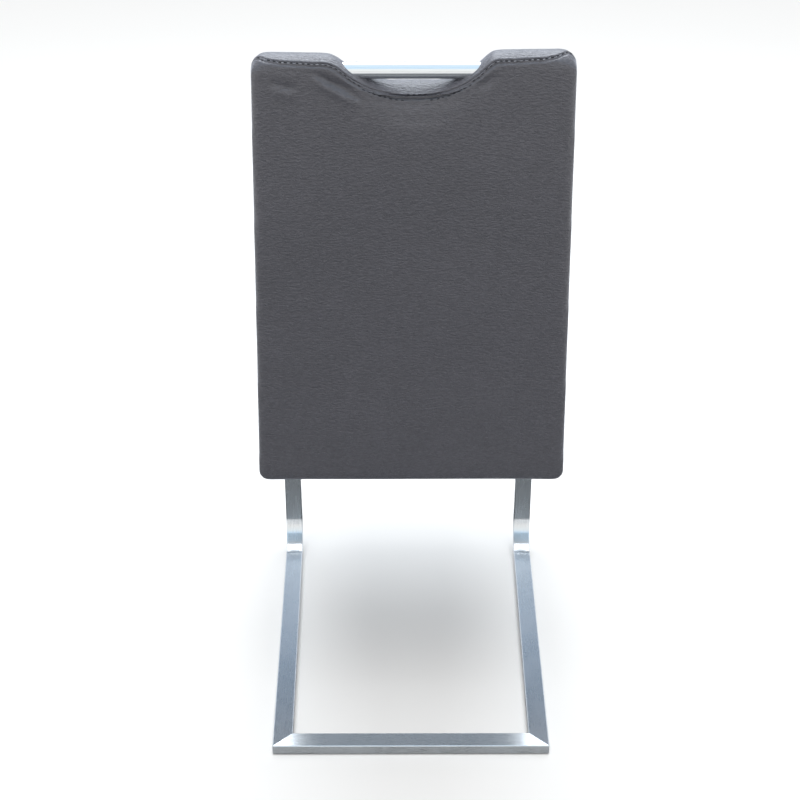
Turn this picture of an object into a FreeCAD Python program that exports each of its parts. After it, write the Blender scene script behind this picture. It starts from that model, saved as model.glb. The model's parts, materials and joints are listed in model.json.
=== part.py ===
import FreeCAD, Part
import math
import os
from types import SimpleNamespace

import Sketcher

# A cantilever dining chair: a springing loop of flat steel tube that carries a padded seat and a
# high padded back, with a steel hand grip in a scoop at the top of the back.
# +Z is up, the sitter faces -Y, and the origin is on the floor under the middle of the chair.

DOCUMENT = FreeCAD.newDocument("cantilever_chair")

DRIVING_SIZES = [
    ("tube_width", 30.0, "flat tube of the frame, across the chair"),
    ("tube_height", 16.0, "flat tube of the frame, its thin side"),
    ("tube_wall", 1.5, "wall of the flat tube"),
    ("tube_corner", 1.2, "bevel along the flat tube's corners, in place of their small radius"),
    ("frame_rear_width", 419.0, "across the frame at the floor crossbar"),
    ("frame_front_width", 460.0, "across the frame at the legs"),
    ("runner_reach", 601.0, "from the crossbar's rear face to the legs' front face"),
    ("bend_radius", 48.0, "inside radius of the frame's bends"),
    ("rail_top", 428.0, "height of the seat rails' top above the floor"),
    ("rail_end_inset", 171.0, "from the crossbar's rear face forward to the seat rails' open ends"),
    ("front_bar_reach", 110.0, "from the legs' front face to the front seat crossbar's middle"),
    ("rear_bar_inset", 231.0, "from the crossbar's rear face to the rear seat crossbar's middle"),
    ("cap_flange", 2.0, "flange of a rail's end cap"),
    ("cap_depth", 12.0, "how far an end cap goes into its rail"),
    ("glide_height", 2.0, "pad of a floor glide"),
    ("glide_diameter", 18.0, "pad of a floor glide"),
    ("glide_pin_diameter", 6.0, "pin of a floor glide"),
    ("glide_pin_length", 7.0, "pin of a floor glide"),
    ("rear_glide_inset", 40.0, "from the crossbar's end to its glide"),
    ("front_glide_inset", 86.0, "from the legs' front face back to a runner's front glide"),
    ("clearance", 0.3, "between a soft or seated piece and its neighbour"),
    ("bolt_diameter", 6.0, "bolts that hold the seat down"),
    ("bolt_play", 0.3, "between a bolt and its hole, all round"),
    ("bolt_head_diameter", 14.0, "wide flat head, which needs no washer"),
    ("bolt_head_height", 2.5, "wide flat head"),
    ("hex_socket", 4.0, "across the flats of a bolt's socket"),
    ("socket_depth", 2.0, "depth of a bolt's socket"),
    ("rivet_nut_diameter", 9.0, "barrel of a rivet nut"),
    ("rivet_nut_length", 14.0, "barrel of a rivet nut"),
    ("cover_thickness", 1.2, "synthetic leather with its backing"),
    ("hem_width", 26.0, "cover turned under the seat"),
    ("underlining_thickness", 0.6, "black cloth under the seat"),
    ("seat_overhang", 10.0, "seat's front edge ahead of the legs"),
    ("seat_side_inset", 4.0, "from the legs' outside in to the seat's side"),
    ("seat_height", 62.0, "seat's underside to the top of its crown"),
    ("seat_crown", 7.0, "rise of the seat from its sides to its middle"),
    ("crown_root", 1.0, "how far below a padded face its crown starts"),
    ("seat_bow", 6.0, "bow of the seat's front edge"),
    ("seat_corner", 34.0, "radius of the seat's front corners"),
    ("seat_edge", 15.0, "radius of the seat's upper edge"),
    ("seat_hem_bevel", 1.5, "bevel of the seat's lower edge"),
    ("seat_seam_drop", 20.0, "from the seat's top to its border seam"),
    ("seat_side_foam", 8.0, "foam over the sides of the seat's frame"),
    ("batten_width", 25.0, "wooden battens of the seat"),
    ("board_thickness", 9.0, "plywood seat board"),
    ("inner_tube", 20.0, "square tube inside the upholstery"),
    ("inner_wall", 2.0, "wall of the square tube"),
    ("inner_tube_inset", 50.0, "from the seat's narrowest side in to the square tubes' middles"),
    ("inner_bend_radius", 25.0, "inside radius of their bend"),
    ("back_height", 628.0, "along the back, lower edge to the horns' tops"),
    ("back_bottom_width", 436.0, "across the back's lower edge and the seat's rear"),
    ("back_top_width", 385.0, "across the back's top"),
    ("back_thickness", 48.0, "of the back, without its crown"),
    ("back_lean", 8.7, "degrees from upright"),
    ("back_base_height", 423.4, "height of the back's lower rear edge"),
    ("back_reach", 98.1, "from the crossbar's rear face forward to that edge"),
    ("back_crown", 6.0, "swell of the back's front face above the seat"),
    ("back_edge", 5.0, "edge radius of the back, which ends at the seams of its top band"),
    ("back_corner", 15.0, "radius of the back's lower corners"),
    ("horn_corner", 12.0, "outer radius of the horns either side of the grip"),
    ("scoop_radius", 114.0, "radius of the scoop under the grip"),
    ("scoop_depth", 45.0, "depth of the scoop below the horns"),
    ("scoop_corner", 15.0, "radius where the scoop meets a horn"),
    ("band_drop", 14.0, "how far the top band runs down past the horns' tops"),
    ("rear_foam", 4.5, "wadding behind the back board"),
    ("head_joint_drop", 22.0, "from the scoop's bottom to the joint of the back's glued foams"),
    ("back_board_thickness", 6.0, "plywood of the back"),
    ("back_board_margin", 14.0, "from the back's outline to its board"),
    ("upright_gap", 10.0, "from the horns' tops to the square tubes' ends"),
    ("top_bar_drop", 70.0, "from the horns' tops to the upper inner crossbar's middle"),
    ("bottom_bar_height", 90.0, "from the back's lower edge to the lower inner crossbar's middle"),
    ("grip_diameter", 20.0, "hand grip"),
    ("grip_wall", 1.5, "hand grip"),
    ("grip_drop", 21.0, "from the horns' tops to the grip's axis"),
    ("spigot_length", 20.0, "stub on each upright that carries an end of the grip"),
]


class Size:
    """A dimension: its value, and the formula that gives it on the sheet."""

    def __init__(self, value, formula):
        self.value = value
        self.formula = formula

    def __add__(self, other):
        other = as_size(other)
        return Size(self.value + other.value, f"({self.formula} + {other.formula})")

    def __sub__(self, other):
        other = as_size(other)
        return Size(self.value - other.value, f"({self.formula} - {other.formula})")

    def __mul__(self, other):
        other = as_size(other)
        return Size(self.value * other.value, f"({self.formula} * {other.formula})")

    def __truediv__(self, other):
        other = as_size(other)
        return Size(self.value / other.value, f"({self.formula} / {other.formula})")

    def __neg__(self):
        return Size(-self.value, f"(0 - {self.formula})")


def as_size(number):
    """Take a plain number or a Size as a Size."""
    if isinstance(number, Size):
        return number
    return Size(float(number), f"({float(number)})")


def sine(angle):
    return Size(math.sin(math.radians(angle.value)), f"sin({angle.formula})")


def cosine(angle):
    return Size(math.cos(math.radians(angle.value)), f"cos({angle.formula})")


def tangent(angle):
    return Size(math.tan(math.radians(angle.value)), f"tan({angle.formula})")


def arctangent(ratio):
    return Size(math.degrees(math.atan(ratio.value)), f"(atan({ratio.formula}) / 1 deg)")


def root(square):
    return Size(math.sqrt(square.value), f"sqrt({square.formula})")


def smaller(one, other):
    return Size(min(one.value, other.value), f"min({one.formula}; {other.formula})")


def arc_radius(half_chord, rise):
    """The radius of an arc from its half chord and its rise."""
    return (half_chord * half_chord + rise * rise) / (rise * 2)


def write_sheet():
    """Put the driving sizes on the sheet and return them by name."""
    sheet = DOCUMENT.addObject("Spreadsheet::Sheet", "sizes")
    named = {}
    for row, (name, value, meaning) in enumerate(DRIVING_SIZES, start=1):
        sheet.set(f"A{row}", name)
        sheet.set(f"B{row}", str(value))
        sheet.set(f"C{row}", meaning)
        sheet.setAlias(f"B{row}", name)
        named[name] = Size(value, f"sizes.{name}")
    DOCUMENT.recompute()
    return SimpleNamespace(**named)


S = write_sheet()
ZERO = as_size(0)

# A form inside a rounded one has its edges cut off this share of the radius in from the corner,
# which keeps it clear of the curve outside it.
INNER_BEVEL = 0.7

# Plan of the frame: the floor crossbar's rear face and the seat's front edge are as far from the
# origin as each other, and the runners splay from the crossbar to the legs.
REAR = (S.runner_reach + S.seat_overhang) / 2
SPLAY = arctangent((S.frame_front_width - S.frame_rear_width) / 2 / S.runner_reach)
MITRE_RUN = S.tube_width / 2 * tangent(as_size(45) - SPLAY / 2)
CORNER_X = S.frame_rear_width / 2 - S.tube_width / 2 * cosine(SPLAY) + MITRE_RUN * sine(SPLAY)
CORNER_Y = REAR - S.tube_width / 2
FRONT_GLIDE = S.runner_reach - S.tube_width / 2 - S.front_glide_inset
RAIL_LENGTH = S.runner_reach - S.rail_end_inset
REAR_BAR_REACH = S.runner_reach - S.rear_bar_inset

# Heights: the cover lies on the seat rails, and the battens and square tubes on the cover's hem.
SEAT_BASE = S.rail_top + S.clearance
BATTEN_BASE = SEAT_BASE + S.cover_thickness + S.clearance
BATTEN_TOP = BATTEN_BASE + S.inner_tube
BOARD_TOP = BATTEN_TOP + S.board_thickness
SEAT_FRONT = -REAR
SEAT_FRONT_HALF = S.frame_front_width / 2 - S.seat_side_inset
SEAT_REAR_HALF = S.back_bottom_width / 2
SEAT_FLAT = S.seat_height - S.seat_crown

# Back: its parts are drawn upright behind their own origin, at the middle of its lower rear edge,
# and then leaned. In that frame the back's rear face is at Y 0 and its front is towards -Y.
BACK_Y = REAR - S.back_reach
BACK_FRAME_REAR = S.cover_thickness + S.rear_foam + S.back_board_thickness + S.clearance * 3
BACK_FRAME_MIDDLE = BACK_FRAME_REAR + S.inner_tube / 2
BACK_FRAME_FRONT = BACK_FRAME_REAR + S.inner_tube
SCOOP_CENTRE = S.back_height - S.scoop_depth + S.scoop_radius
GRIP_HEIGHT = S.back_height - S.grip_drop
INNER_HALF = smaller(SEAT_FRONT_HALF, SEAT_REAR_HALF) - S.inner_tube_inset


def plane_of(body, role):
    """One of a body's own origin planes."""
    return next(part for part in body.Origin.OriginFeatures if part.Role == role)


def new_body(name):
    return DOCUMENT.addObject("PartDesign::Body", name)


def bind(thing, prop, size):
    """Give a property its value by a formula on the sheet."""
    thing.setExpression(prop, size.formula)


def place(thing, x=ZERO, y=ZERO, z=ZERO, turn=ZERO, axis=(0, 0, 1)):
    """Set a placement whose position and angle follow the sheet."""
    rotation = FreeCAD.Rotation(FreeCAD.Vector(*axis), turn.value)
    thing.Placement = FreeCAD.Placement(FreeCAD.Vector(x.value, y.value, z.value), rotation)
    bind(thing, ".Placement.Base.x", x)
    bind(thing, ".Placement.Base.y", y)
    bind(thing, ".Placement.Base.z", z)
    if turn.value:
        bind(thing, ".Placement.Rotation.Angle", turn)


def place_on_back(thing):
    """Lean a piece that was drawn in the back's frame."""
    place(thing, y=BACK_Y, z=S.back_base_height, turn=S.back_lean, axis=(-1, 0, 0))


def sketch_on(body, role, lift=ZERO):
    """A new sketch on an origin plane of the body, or parallel to it."""
    sketch = body.newObject("Sketcher::SketchObject", f"{body.Name}_sketch")
    sketch.AttachmentSupport = [(plane_of(body, role), "")]
    sketch.MapMode = "FlatFace"
    sketch.AttachmentOffset = FreeCAD.Placement(FreeCAD.Vector(0, 0, lift.value), FreeCAD.Rotation())
    bind(sketch, ".AttachmentOffset.Base.z", lift)
    return sketch


def constrain(sketch, kind, parts, size):
    """Add a dimension to a sketch and tie it to the sheet."""
    index = sketch.addConstraint(Sketcher.Constraint(kind, *parts, size.value))
    bind(sketch, f"Constraints[{index}]", size)


def arc_between(start, end, radius, side):
    """The short arc between two points, its centre left (1) or right (-1) of the way from start."""
    chord = end - start
    height = math.sqrt(max(radius ** 2 - (chord.Length / 2) ** 2, 0.0))
    left = FreeCAD.Vector(-chord.y, chord.x, 0).normalize()
    centre = (start + end) / 2 + left * height * side
    first, last = (start, end) if side > 0 else (end, start)
    angles = [math.atan2(point.y - centre.y, point.x - centre.x) for point in (first, last)]
    return Part.ArcOfCircle(Part.Circle(centre, FreeCAD.Vector(0, 0, 1), radius), *angles)


def draw_path(sketch, corners, arcs=None, closed=True):
    """Draw lines and arcs through corners, each a pair of sizes.

    arcs gives the radius and the side of each curved edge by the edge's number.
    """
    arcs = arcs or {}
    points = [FreeCAD.Vector(x.value, y.value, 0) for x, y in corners]
    count = len(corners) if closed else len(corners) - 1
    edges = []
    for number in range(count):
        start = points[number]
        end = points[(number + 1) % len(points)]
        if number in arcs:
            radius, side = arcs[number]
            shape = arc_between(start, end, radius.value, side)
            edges.append((sketch.addGeometry(shape, False), 1 if side > 0 else 2))
            constrain(sketch, "Radius", (edges[-1][0],), radius)
        else:
            shape = Part.LineSegment(start, end)
            edges.append((sketch.addGeometry(shape, False), 1))
    for number, (edge, first) in enumerate(edges):
        x, y = corners[number]
        constrain(sketch, "DistanceX", (-1, 1, edge, first), x)
        constrain(sketch, "DistanceY", (-1, 1, edge, first), y)
        if closed or number + 1 < count:
            after, after_first = edges[(number + 1) % count]
            sketch.addConstraint(Sketcher.Constraint("Coincident", edge, 3 - first, after, after_first))
    if not closed:
        edge, first = edges[-1]
        x, y = corners[-1]
        constrain(sketch, "DistanceX", (-1, 1, edge, 3 - first), x)
        constrain(sketch, "DistanceY", (-1, 1, edge, 3 - first), y)
    return sketch


def draw_circle(sketch, x, y, diameter):
    circle = Part.Circle(FreeCAD.Vector(x.value, y.value, 0), FreeCAD.Vector(0, 0, 1), diameter.value / 2)
    edge = sketch.addGeometry(circle, False)
    constrain(sketch, "DistanceX", (-1, 1, edge, 3), x)
    constrain(sketch, "DistanceY", (-1, 1, edge, 3), y)
    constrain(sketch, "Diameter", (edge,), diameter)
    return sketch


def draw_box(sketch, low_x, low_y, high_x, high_y):
    return draw_path(sketch, [(low_x, low_y), (high_x, low_y), (high_x, high_y), (low_x, high_y)])


def draw_tube_section(sketch):
    """The flat tube's outside about the sketch's origin, its corners bevelled."""
    far_x = S.tube_width / 2
    far_y = S.tube_height / 2
    near_x = far_x - S.tube_corner
    near_y = far_y - S.tube_corner
    return draw_path(sketch, [
        (-near_x, -far_y), (near_x, -far_y), (far_x, -near_y), (far_x, near_y),
        (near_x, far_y), (-near_x, far_y), (-far_x, near_y), (-far_x, -near_y),
    ])


def pad(body, sketch, length, symmetric=False, backward=False):
    """Add material along the sketch's normal."""
    feature = body.newObject("PartDesign::Pad", f"{body.Name}_pad")
    feature.Profile = sketch
    feature.SideType = "Symmetric" if symmetric else "One side"
    feature.Reversed = backward
    bind(feature, "Length", length)
    return feature


def pocket(body, sketch, length=None, forward=False, symmetric=False):
    """Cut against the sketch's normal, through everything both ways where no length is given."""
    DOCUMENT.recompute()
    before = body.Shape.Volume
    feature = body.newObject("PartDesign::Pocket", f"{body.Name}_pocket")
    feature.Profile = sketch
    if length is None:
        feature.SideType = "Symmetric"
        feature.Type = "ThroughAll"
    else:
        feature.SideType = "Symmetric" if symmetric else "One side"
        feature.Type = "Length"
        feature.Reversed = forward
        bind(feature, "Length", length)
    DOCUMENT.recompute()
    if not body.Shape.Volume < before:
        raise RuntimeError(f"{feature.Name} removes nothing")
    return feature


def revolve(body, sketch):
    """Turn a half profile about the sketch's vertical axis."""
    feature = body.newObject("PartDesign::Revolution", f"{body.Name}_turned")
    feature.Profile = sketch
    feature.ReferenceAxis = (sketch, ["V_Axis"])
    feature.Angle = 360
    return feature


def sweep(body, profile, path, edge_count):
    """Carry a profile along the edges of a path."""
    feature = body.newObject("PartDesign::AdditivePipe", f"{body.Name}_sweep")
    feature.Profile = profile
    feature.Spine = (path, [f"Edge{number}" for number in range(1, edge_count + 1)])
    return feature


def round_edges(body, radius, wanted):
    """Fillet the edges of the body for which wanted(edge) is true."""
    DOCUMENT.recompute()
    base = body.Tip
    names = [f"Edge{number}" for number, edge in enumerate(base.Shape.Edges, start=1) if wanted(edge)]
    feature = body.newObject("PartDesign::Fillet", f"{body.Name}_round")
    feature.Base = (base, names)
    bind(feature, "Radius", radius)
    DOCUMENT.recompute()
    return feature


def bevel_edges(body, size, wanted):
    """Cut off at 45 degrees the edges of the body for which wanted(edge) is true."""
    DOCUMENT.recompute()
    base = body.Tip
    names = [f"Edge{number}" for number, edge in enumerate(base.Shape.Edges, start=1) if wanted(edge)]
    feature = body.newObject("PartDesign::Chamfer", f"{body.Name}_bevel")
    feature.Base = (base, names)
    bind(feature, "Size", size)
    DOCUMENT.recompute()
    return feature


def soften_edges(body, radius, inset, wanted):
    """Round the outside of a padded form; a form inside it has its edges cut off behind that curve."""
    if inset.value:
        bevel_edges(body, radius * INNER_BEVEL, wanted)
    else:
        round_edges(body, radius, wanted)


def cut(name, base, tool):
    """One shape with another taken out."""
    result = DOCUMENT.addObject("Part::Cut", name)
    result.Base = base
    result.Tool = tool
    return result


def common(name, base, tool):
    """What two shapes share."""
    result = DOCUMENT.addObject("Part::Common", name)
    result.Base = base
    result.Tool = tool
    return result


def fuse(name, base, tool):
    """Two shapes as one."""
    result = DOCUMENT.addObject("Part::Fuse", name)
    result.Base = base
    result.Tool = tool
    return result


def pillow(name, half_width, low_y, high_y, rise):
    """A low crown, arched both ways, whose rim is sunk below the face that it is fused to.

    It stands on its own XY plane, which is that face.
    """
    body = new_body(name)
    rim = -S.crown_root
    base = rim * 2
    top = rise * 2
    across = sketch_on(body, "XZ_Plane", -high_y)
    draw_path(across, [
        (-half_width, base), (half_width, base), (half_width, rim), (-half_width, rim),
    ], {2: (arc_radius(half_width, rise - rim), 1)})
    pad(body, across, high_y - low_y)
    along = sketch_on(body, "YZ_Plane")
    draw_path(along, [
        (low_y, rim), (high_y, rim), (high_y, top), (low_y, top),
    ], {0: (arc_radius((high_y - low_y) / 2, rise - rim), -1)})
    pocket(body, along)
    return body


def slab(name, low_y, high_y, low_z, high_z):
    """A block across the whole chair between two depths and two heights."""
    block = DOCUMENT.addObject("Part::Box", name)
    width = S.frame_front_width * 2
    bind(block, "Length", width)
    bind(block, "Width", high_y - low_y)
    bind(block, "Height", high_z - low_z)
    bind(block, ".Placement.Base.x", -(width / 2))
    bind(block, ".Placement.Base.y", low_y)
    bind(block, ".Placement.Base.z", low_z)
    return block


def group(name, bodies):
    """Equal loose pieces as one named group."""
    result = DOCUMENT.addObject("Part::Compound", name)
    result.Links = bodies
    return result


def frame_half_width(reach):
    """Half the frame's outside width at a distance ahead of the crossbar's rear face."""
    return S.frame_rear_width / 2 + reach * tangent(SPLAY)


def along_runner(side, reach):
    """The place on a runner's centre line at a distance from the mitre's middle."""
    x = (CORNER_X + reach * sine(SPLAY)) * side
    y = CORNER_Y - reach * cosine(SPLAY)
    return x, y


def hollow_bar(name, plan, base, holes=()):
    """A straight piece of the flat tube, lying across the chair.

    plan holds the bar's four corners, from its front left round to its rear left, and base is its
    underside. holes are places of bolt holes through both walls.
    """
    body = new_body(name)
    place(body, z=base)
    pad(body, draw_path(sketch_on(body, "XY_Plane"), plan), S.tube_height)
    far = S.frame_rear_width / 3
    bevel_edges(body, S.tube_corner, lambda edge: edge.BoundBox.XLength > far.value)
    bore = sketch_on(body, "YZ_Plane")
    front = plan[0][1] + S.tube_wall
    rear = plan[2][1] - S.tube_wall
    pocket(body, draw_box(bore, front, S.tube_wall, rear, S.tube_height - S.tube_wall))
    if holes:
        drilled = sketch_on(body, "XY_Plane")
        for x, y in holes:
            draw_circle(drilled, x, y, S.bolt_diameter + S.bolt_play * 2)
        pocket(body, drilled)
    return body


def make_floor_crossbar():
    """The rear bar on the floor, mitred into both runners, with a hole for each rear glide."""
    outer = S.frame_rear_width / 2
    inner = CORNER_X * 2 - outer
    front = REAR - S.tube_width
    plan = [(-inner, front), (inner, front), (outer, REAR), (-outer, REAR)]
    body = hollow_bar("floor_crossbar", plan, S.glide_height)
    holes = sketch_on(body, "XY_Plane")
    for side in (-1, 1):
        draw_circle(holes, (outer - S.rear_glide_inset) * side, CORNER_Y, S.glide_pin_diameter)
    pocket(body, holes, S.tube_wall * 2, forward=True)
    return body


def make_seat_crossbar(name, reach):
    """A bar between the two seat rails, flush with their tops, that the seat is bolted to."""
    middle = S.runner_reach - reach
    rear = middle - S.tube_width / 2
    front = middle + S.tube_width / 2
    rail = S.tube_width / cosine(SPLAY)
    front_half = frame_half_width(front) - rail
    rear_half = frame_half_width(rear) - rail
    plan = [
        (-front_half, REAR - front), (front_half, REAR - front),
        (rear_half, REAR - rear), (-rear_half, REAR - rear),
    ]
    holes = [(INNER_HALF * side, REAR - middle) for side in (-1, 1)]
    return hollow_bar(name, plan, S.rail_top - S.tube_height, holes)


def make_side_frame(name, side):
    """Runner, front bend, leg, upper bend and seat rail, bent from one flat tube."""
    body = new_body(name)
    start_x, start_y = along_runner(side, -S.tube_width)
    place(body, start_x, start_y, S.glide_height, SPLAY * side)

    bend = S.bend_radius + S.tube_height / 2
    low = S.tube_height / 2
    high = S.rail_top - S.glide_height - low
    leg_front = S.tube_width + (S.runner_reach - S.tube_width / 2) / cosine(SPLAY)
    leg = -(leg_front - low)
    route = [
        (ZERO, low), (leg + bend, low), (leg, low + bend),
        (leg, high - bend), (leg + bend, high), (RAIL_LENGTH - leg_front, high),
    ]
    path = sketch_on(body, "YZ_Plane")
    draw_path(path, route, {1: (bend, -1), 3: (bend, -1)}, closed=False)

    profile = sketch_on(body, "XZ_Plane")
    profile.AttachmentOffset = FreeCAD.Placement(FreeCAD.Vector(0, low.value, 0), FreeCAD.Rotation())
    bind(profile, ".AttachmentOffset.Base.y", low)
    draw_tube_section(profile)
    inner_width = S.tube_width - S.tube_wall * 2
    inner_height = S.tube_height - S.tube_wall * 2
    draw_box(profile, -(inner_width / 2), -(inner_height / 2), inner_width / 2, inner_height / 2)
    sweep(body, profile, path, 5)

    mitre = sketch_on(body, "XY_Plane")
    wide = S.tube_width * side
    middle = -S.tube_width
    draw_path(mitre, [
        (-wide, middle - MITRE_RUN * 2), (wide, middle + MITRE_RUN * 2),
        (wide, S.tube_width), (-wide, S.tube_width),
    ])
    pocket(body, mitre)

    hole = sketch_on(body, "XY_Plane")
    draw_circle(hole, ZERO, middle - FRONT_GLIDE, S.glide_pin_diameter)
    pocket(body, hole, S.tube_wall * 2, forward=True)
    return body


def make_end_caps():
    """The plugs in the open rear ends of the seat rails."""
    caps = []
    for side in (-1, 1):
        body = new_body("end_cap_left" if side > 0 else "end_cap_right")
        leg_front = (S.runner_reach - S.tube_width / 2) / cosine(SPLAY)
        x, y = along_runner(side, leg_front - RAIL_LENGTH)
        place(body, x, y, S.rail_top - S.tube_height / 2, SPLAY * side)
        flange = sketch_on(body, "XZ_Plane")
        draw_tube_section(flange)
        pad(body, flange, S.cap_flange, backward=True)
        plug_width = S.tube_width - S.tube_wall * 2 - S.clearance
        plug_height = S.tube_height - S.tube_wall * 2 - S.clearance
        half_x = plug_width / 2
        half_z = plug_height / 2
        plug = sketch_on(body, "XZ_Plane")
        draw_box(plug, -half_x, -half_z, half_x, half_z)
        pad(body, plug, S.cap_depth)
        half_x = half_x - S.tube_wall
        half_z = half_z - S.tube_wall
        hollow = sketch_on(body, "XZ_Plane")
        draw_box(hollow, -half_x, -half_z, half_x, half_z)
        pocket(body, hollow, S.cap_depth, forward=True)
        caps.append(body)
    return group("rail_end_caps", caps)


def repeat(name, master, places):
    """A named group of one small piece at several places."""
    links = []
    for number, (x, y, z) in enumerate(places, start=1):
        link = DOCUMENT.addObject("App::Link", f"{name}_{number}")
        link.LinkedObject = master
        link.LinkTransform = False
        place(link, x, y, z)
        links.append(link)
    return group(name, links)


def turned_piece(name, outline):
    """A small round piece from its half profile, standing on its own origin."""
    body = new_body(name)
    revolve(body, draw_path(sketch_on(body, "XZ_Plane"), outline))
    return body


def glide_places():
    """Two rear glides under the floor crossbar and one near the front of each runner."""
    places = []
    for side in (-1, 1):
        rear_x = (S.frame_rear_width / 2 - S.rear_glide_inset) * side
        places.append((rear_x, CORNER_Y, ZERO))
        front_x, front_y = along_runner(side, FRONT_GLIDE)
        places.append((front_x, front_y, ZERO))
    return places


def make_floor_glides():
    """Pads that keep the steel off the floor, each with a pin in the tube."""
    pad_radius = S.glide_diameter / 2
    pin = S.glide_pin_diameter / 2 - S.clearance / 3
    top = S.glide_height + S.glide_pin_length
    outline = [
        (ZERO, ZERO), (pad_radius, ZERO), (pad_radius, S.glide_height),
        (pin, S.glide_height), (pin, top), (ZERO, top),
    ]
    return repeat("floor_glides", turned_piece("glide", outline), glide_places())


def bolt_places(height):
    """Where the seat bolts pass the seat crossbars."""
    places = []
    for reach in (S.front_bar_reach, REAR_BAR_REACH):
        for side in (-1, 1):
            places.append((INNER_HALF * side, REAR - (S.runner_reach - reach), height))
    return places


def socket_bolt(name, grip_length):
    """A bolt with a wide flat head, its head down and its shank up, with a hexagon socket."""
    radius = S.bolt_diameter / 2
    head = S.bolt_head_diameter / 2
    outline = [
        (ZERO, -S.bolt_head_height), (head, -S.bolt_head_height), (head, ZERO),
        (radius, ZERO), (radius, grip_length), (ZERO, grip_length),
    ]
    body = turned_piece(name, outline)
    across = S.hex_socket / 2
    side = across * tangent(as_size(30))
    corner = side * 2
    socket = sketch_on(body, "XY_Plane", -S.bolt_head_height)
    draw_path(socket, [
        (corner, ZERO), (side, across), (-side, across),
        (-corner, ZERO), (-side, -across), (side, -across),
    ])
    pocket(body, socket, S.socket_depth, forward=True)
    return body


def make_seat_bolts():
    """Bolts that hold the seat down on its two crossbars, and the rivet nuts that they go into."""
    shank = S.tube_height + S.rivet_nut_length
    bolt = socket_bolt("seat_bolt", shank)
    bolts = repeat("seat_bolts", bolt, bolt_places(S.rail_top - S.tube_height))

    bore = S.bolt_diameter / 2 + S.clearance / 3
    barrel = S.rivet_nut_diameter / 2
    top = BATTEN_BASE - S.rail_top + S.rivet_nut_length
    nut = turned_piece("rivet_nut", [(bore, ZERO), (barrel, ZERO), (barrel, top), (bore, top)])
    return [bolts, repeat("seat_rivet_nuts", nut, bolt_places(S.rail_top))]


def seat_half_width(y, inset):
    """Half the seat's width at a depth, less an inset."""
    taper = (SEAT_FRONT_HALF - SEAT_REAR_HALF) / (seat_rear(ZERO) - SEAT_FRONT)
    return SEAT_FRONT_HALF - (y - SEAT_FRONT) * taper - inset


def seat_rear(height, inset=ZERO):
    """Where the seat's leaning rear face is, at a height above the seat's underside."""
    gap = S.back_thickness + S.clearance + inset
    rise = SEAT_BASE - S.back_base_height + height
    return BACK_Y - gap / cosine(S.back_lean) + rise * tangent(S.back_lean)


def seat_plan(front, rear, inset):
    """Four corners in plan, from the front left round to the rear left."""
    front_half = seat_half_width(front, inset)
    rear_half = seat_half_width(rear, inset)
    return [(-front_half, front), (front_half, front), (rear_half, rear), (-rear_half, rear)]


def seat_form(body, inset):
    """The seat's padded form without its crown: tapered, bowed at the front, with soft edges."""
    place(body, z=SEAT_BASE)
    corner_y = SEAT_FRONT + S.seat_bow + inset
    past = seat_rear(S.seat_height * 2)
    bow = arc_radius(seat_half_width(corner_y, inset), S.seat_bow)
    plan = sketch_on(body, "XY_Plane", inset)
    draw_path(plan, seat_plan(corner_y, past, inset), {0: (bow, 1)})
    pad(body, plan, SEAT_FLAT - inset * 2)

    slope = sketch_on(body, "YZ_Plane")
    draw_path(slope, [
        (seat_rear(-S.seat_height, inset), -S.seat_height), (past * 2, -S.seat_height),
        (past * 2, S.seat_height * 2), (seat_rear(S.seat_height * 2, inset), S.seat_height * 2),
    ])
    pocket(body, slope)

    upright = S.seat_height / 2
    middle_y = (SEAT_FRONT.value + seat_rear(ZERO).value) / 2
    round_edges(
        body, S.seat_corner - inset,
        lambda edge: edge.BoundBox.ZLength > upright.value and edge.BoundBox.YMax < middle_y,
    )
    soften_edges(body, S.seat_edge, inset, lambda edge: edge.BoundBox.ZMin > upright.value)


def seat_pillow(name, inset):
    """The seat's crown, which starts a corner's radius in from the seat's edges."""
    body = pillow(
        name, smaller(SEAT_FRONT_HALF, SEAT_REAR_HALF) - S.seat_corner,
        SEAT_FRONT + S.seat_bow + S.seat_corner, seat_rear(SEAT_FLAT) - S.seat_corner, S.seat_crown,
    )
    place(body, z=SEAT_BASE + SEAT_FLAT - inset)
    return body


def tube_slots(body, base):
    """Room for the two square tubes where they leave the seat for the back."""
    half = S.inner_tube / 2 + S.clearance
    opening = sketch_on(body, "XZ_Plane", -seat_rear(S.seat_height * 2))
    for side in (-1, 1):
        middle = INNER_HALF * side
        draw_box(opening, middle - half, base, middle + half, base + half * 2)
    return opening


def make_seat_cover():
    """The seat's cover, sewn from a top and a border, and turned under the seat as a hem."""
    block = new_body("seat_outside_block")
    seat_form(block, ZERO)
    bevel_edges(block, S.seat_hem_bevel, lambda edge: edge.BoundBox.ZMax < S.seat_hem_bevel.value)
    outer = fuse("seat_outside", block, seat_pillow("seat_outside_crown", ZERO))

    inner = new_body("seat_inside_block")
    seat_form(inner, S.cover_thickness)
    inset = S.hem_width
    opening = sketch_on(inner, "XY_Plane", -S.cover_thickness)
    draw_path(opening, seat_plan(SEAT_FRONT + S.seat_bow + inset, seat_rear(ZERO, inset), inset))
    pad(inner, opening, S.cover_thickness * 3)
    slots = tube_slots(inner, BATTEN_BASE - SEAT_BASE - S.clearance)
    pad(inner, slots, seat_rear(S.seat_height * 2) - seat_rear(ZERO, inset))

    inside = fuse("seat_inside", inner, seat_pillow("seat_inside_crown", S.cover_thickness))
    shell = cut("seat_shell", outer, inside)
    seam = SEAT_BASE + S.seat_height - S.seat_seam_drop
    above = slab("seat_above_seam", SEAT_FRONT * 2, REAR * 2, seam, seam + S.seat_height)
    return [common("seat_cover_top", shell, above), cut("seat_cover_border", shell, above)]


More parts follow.
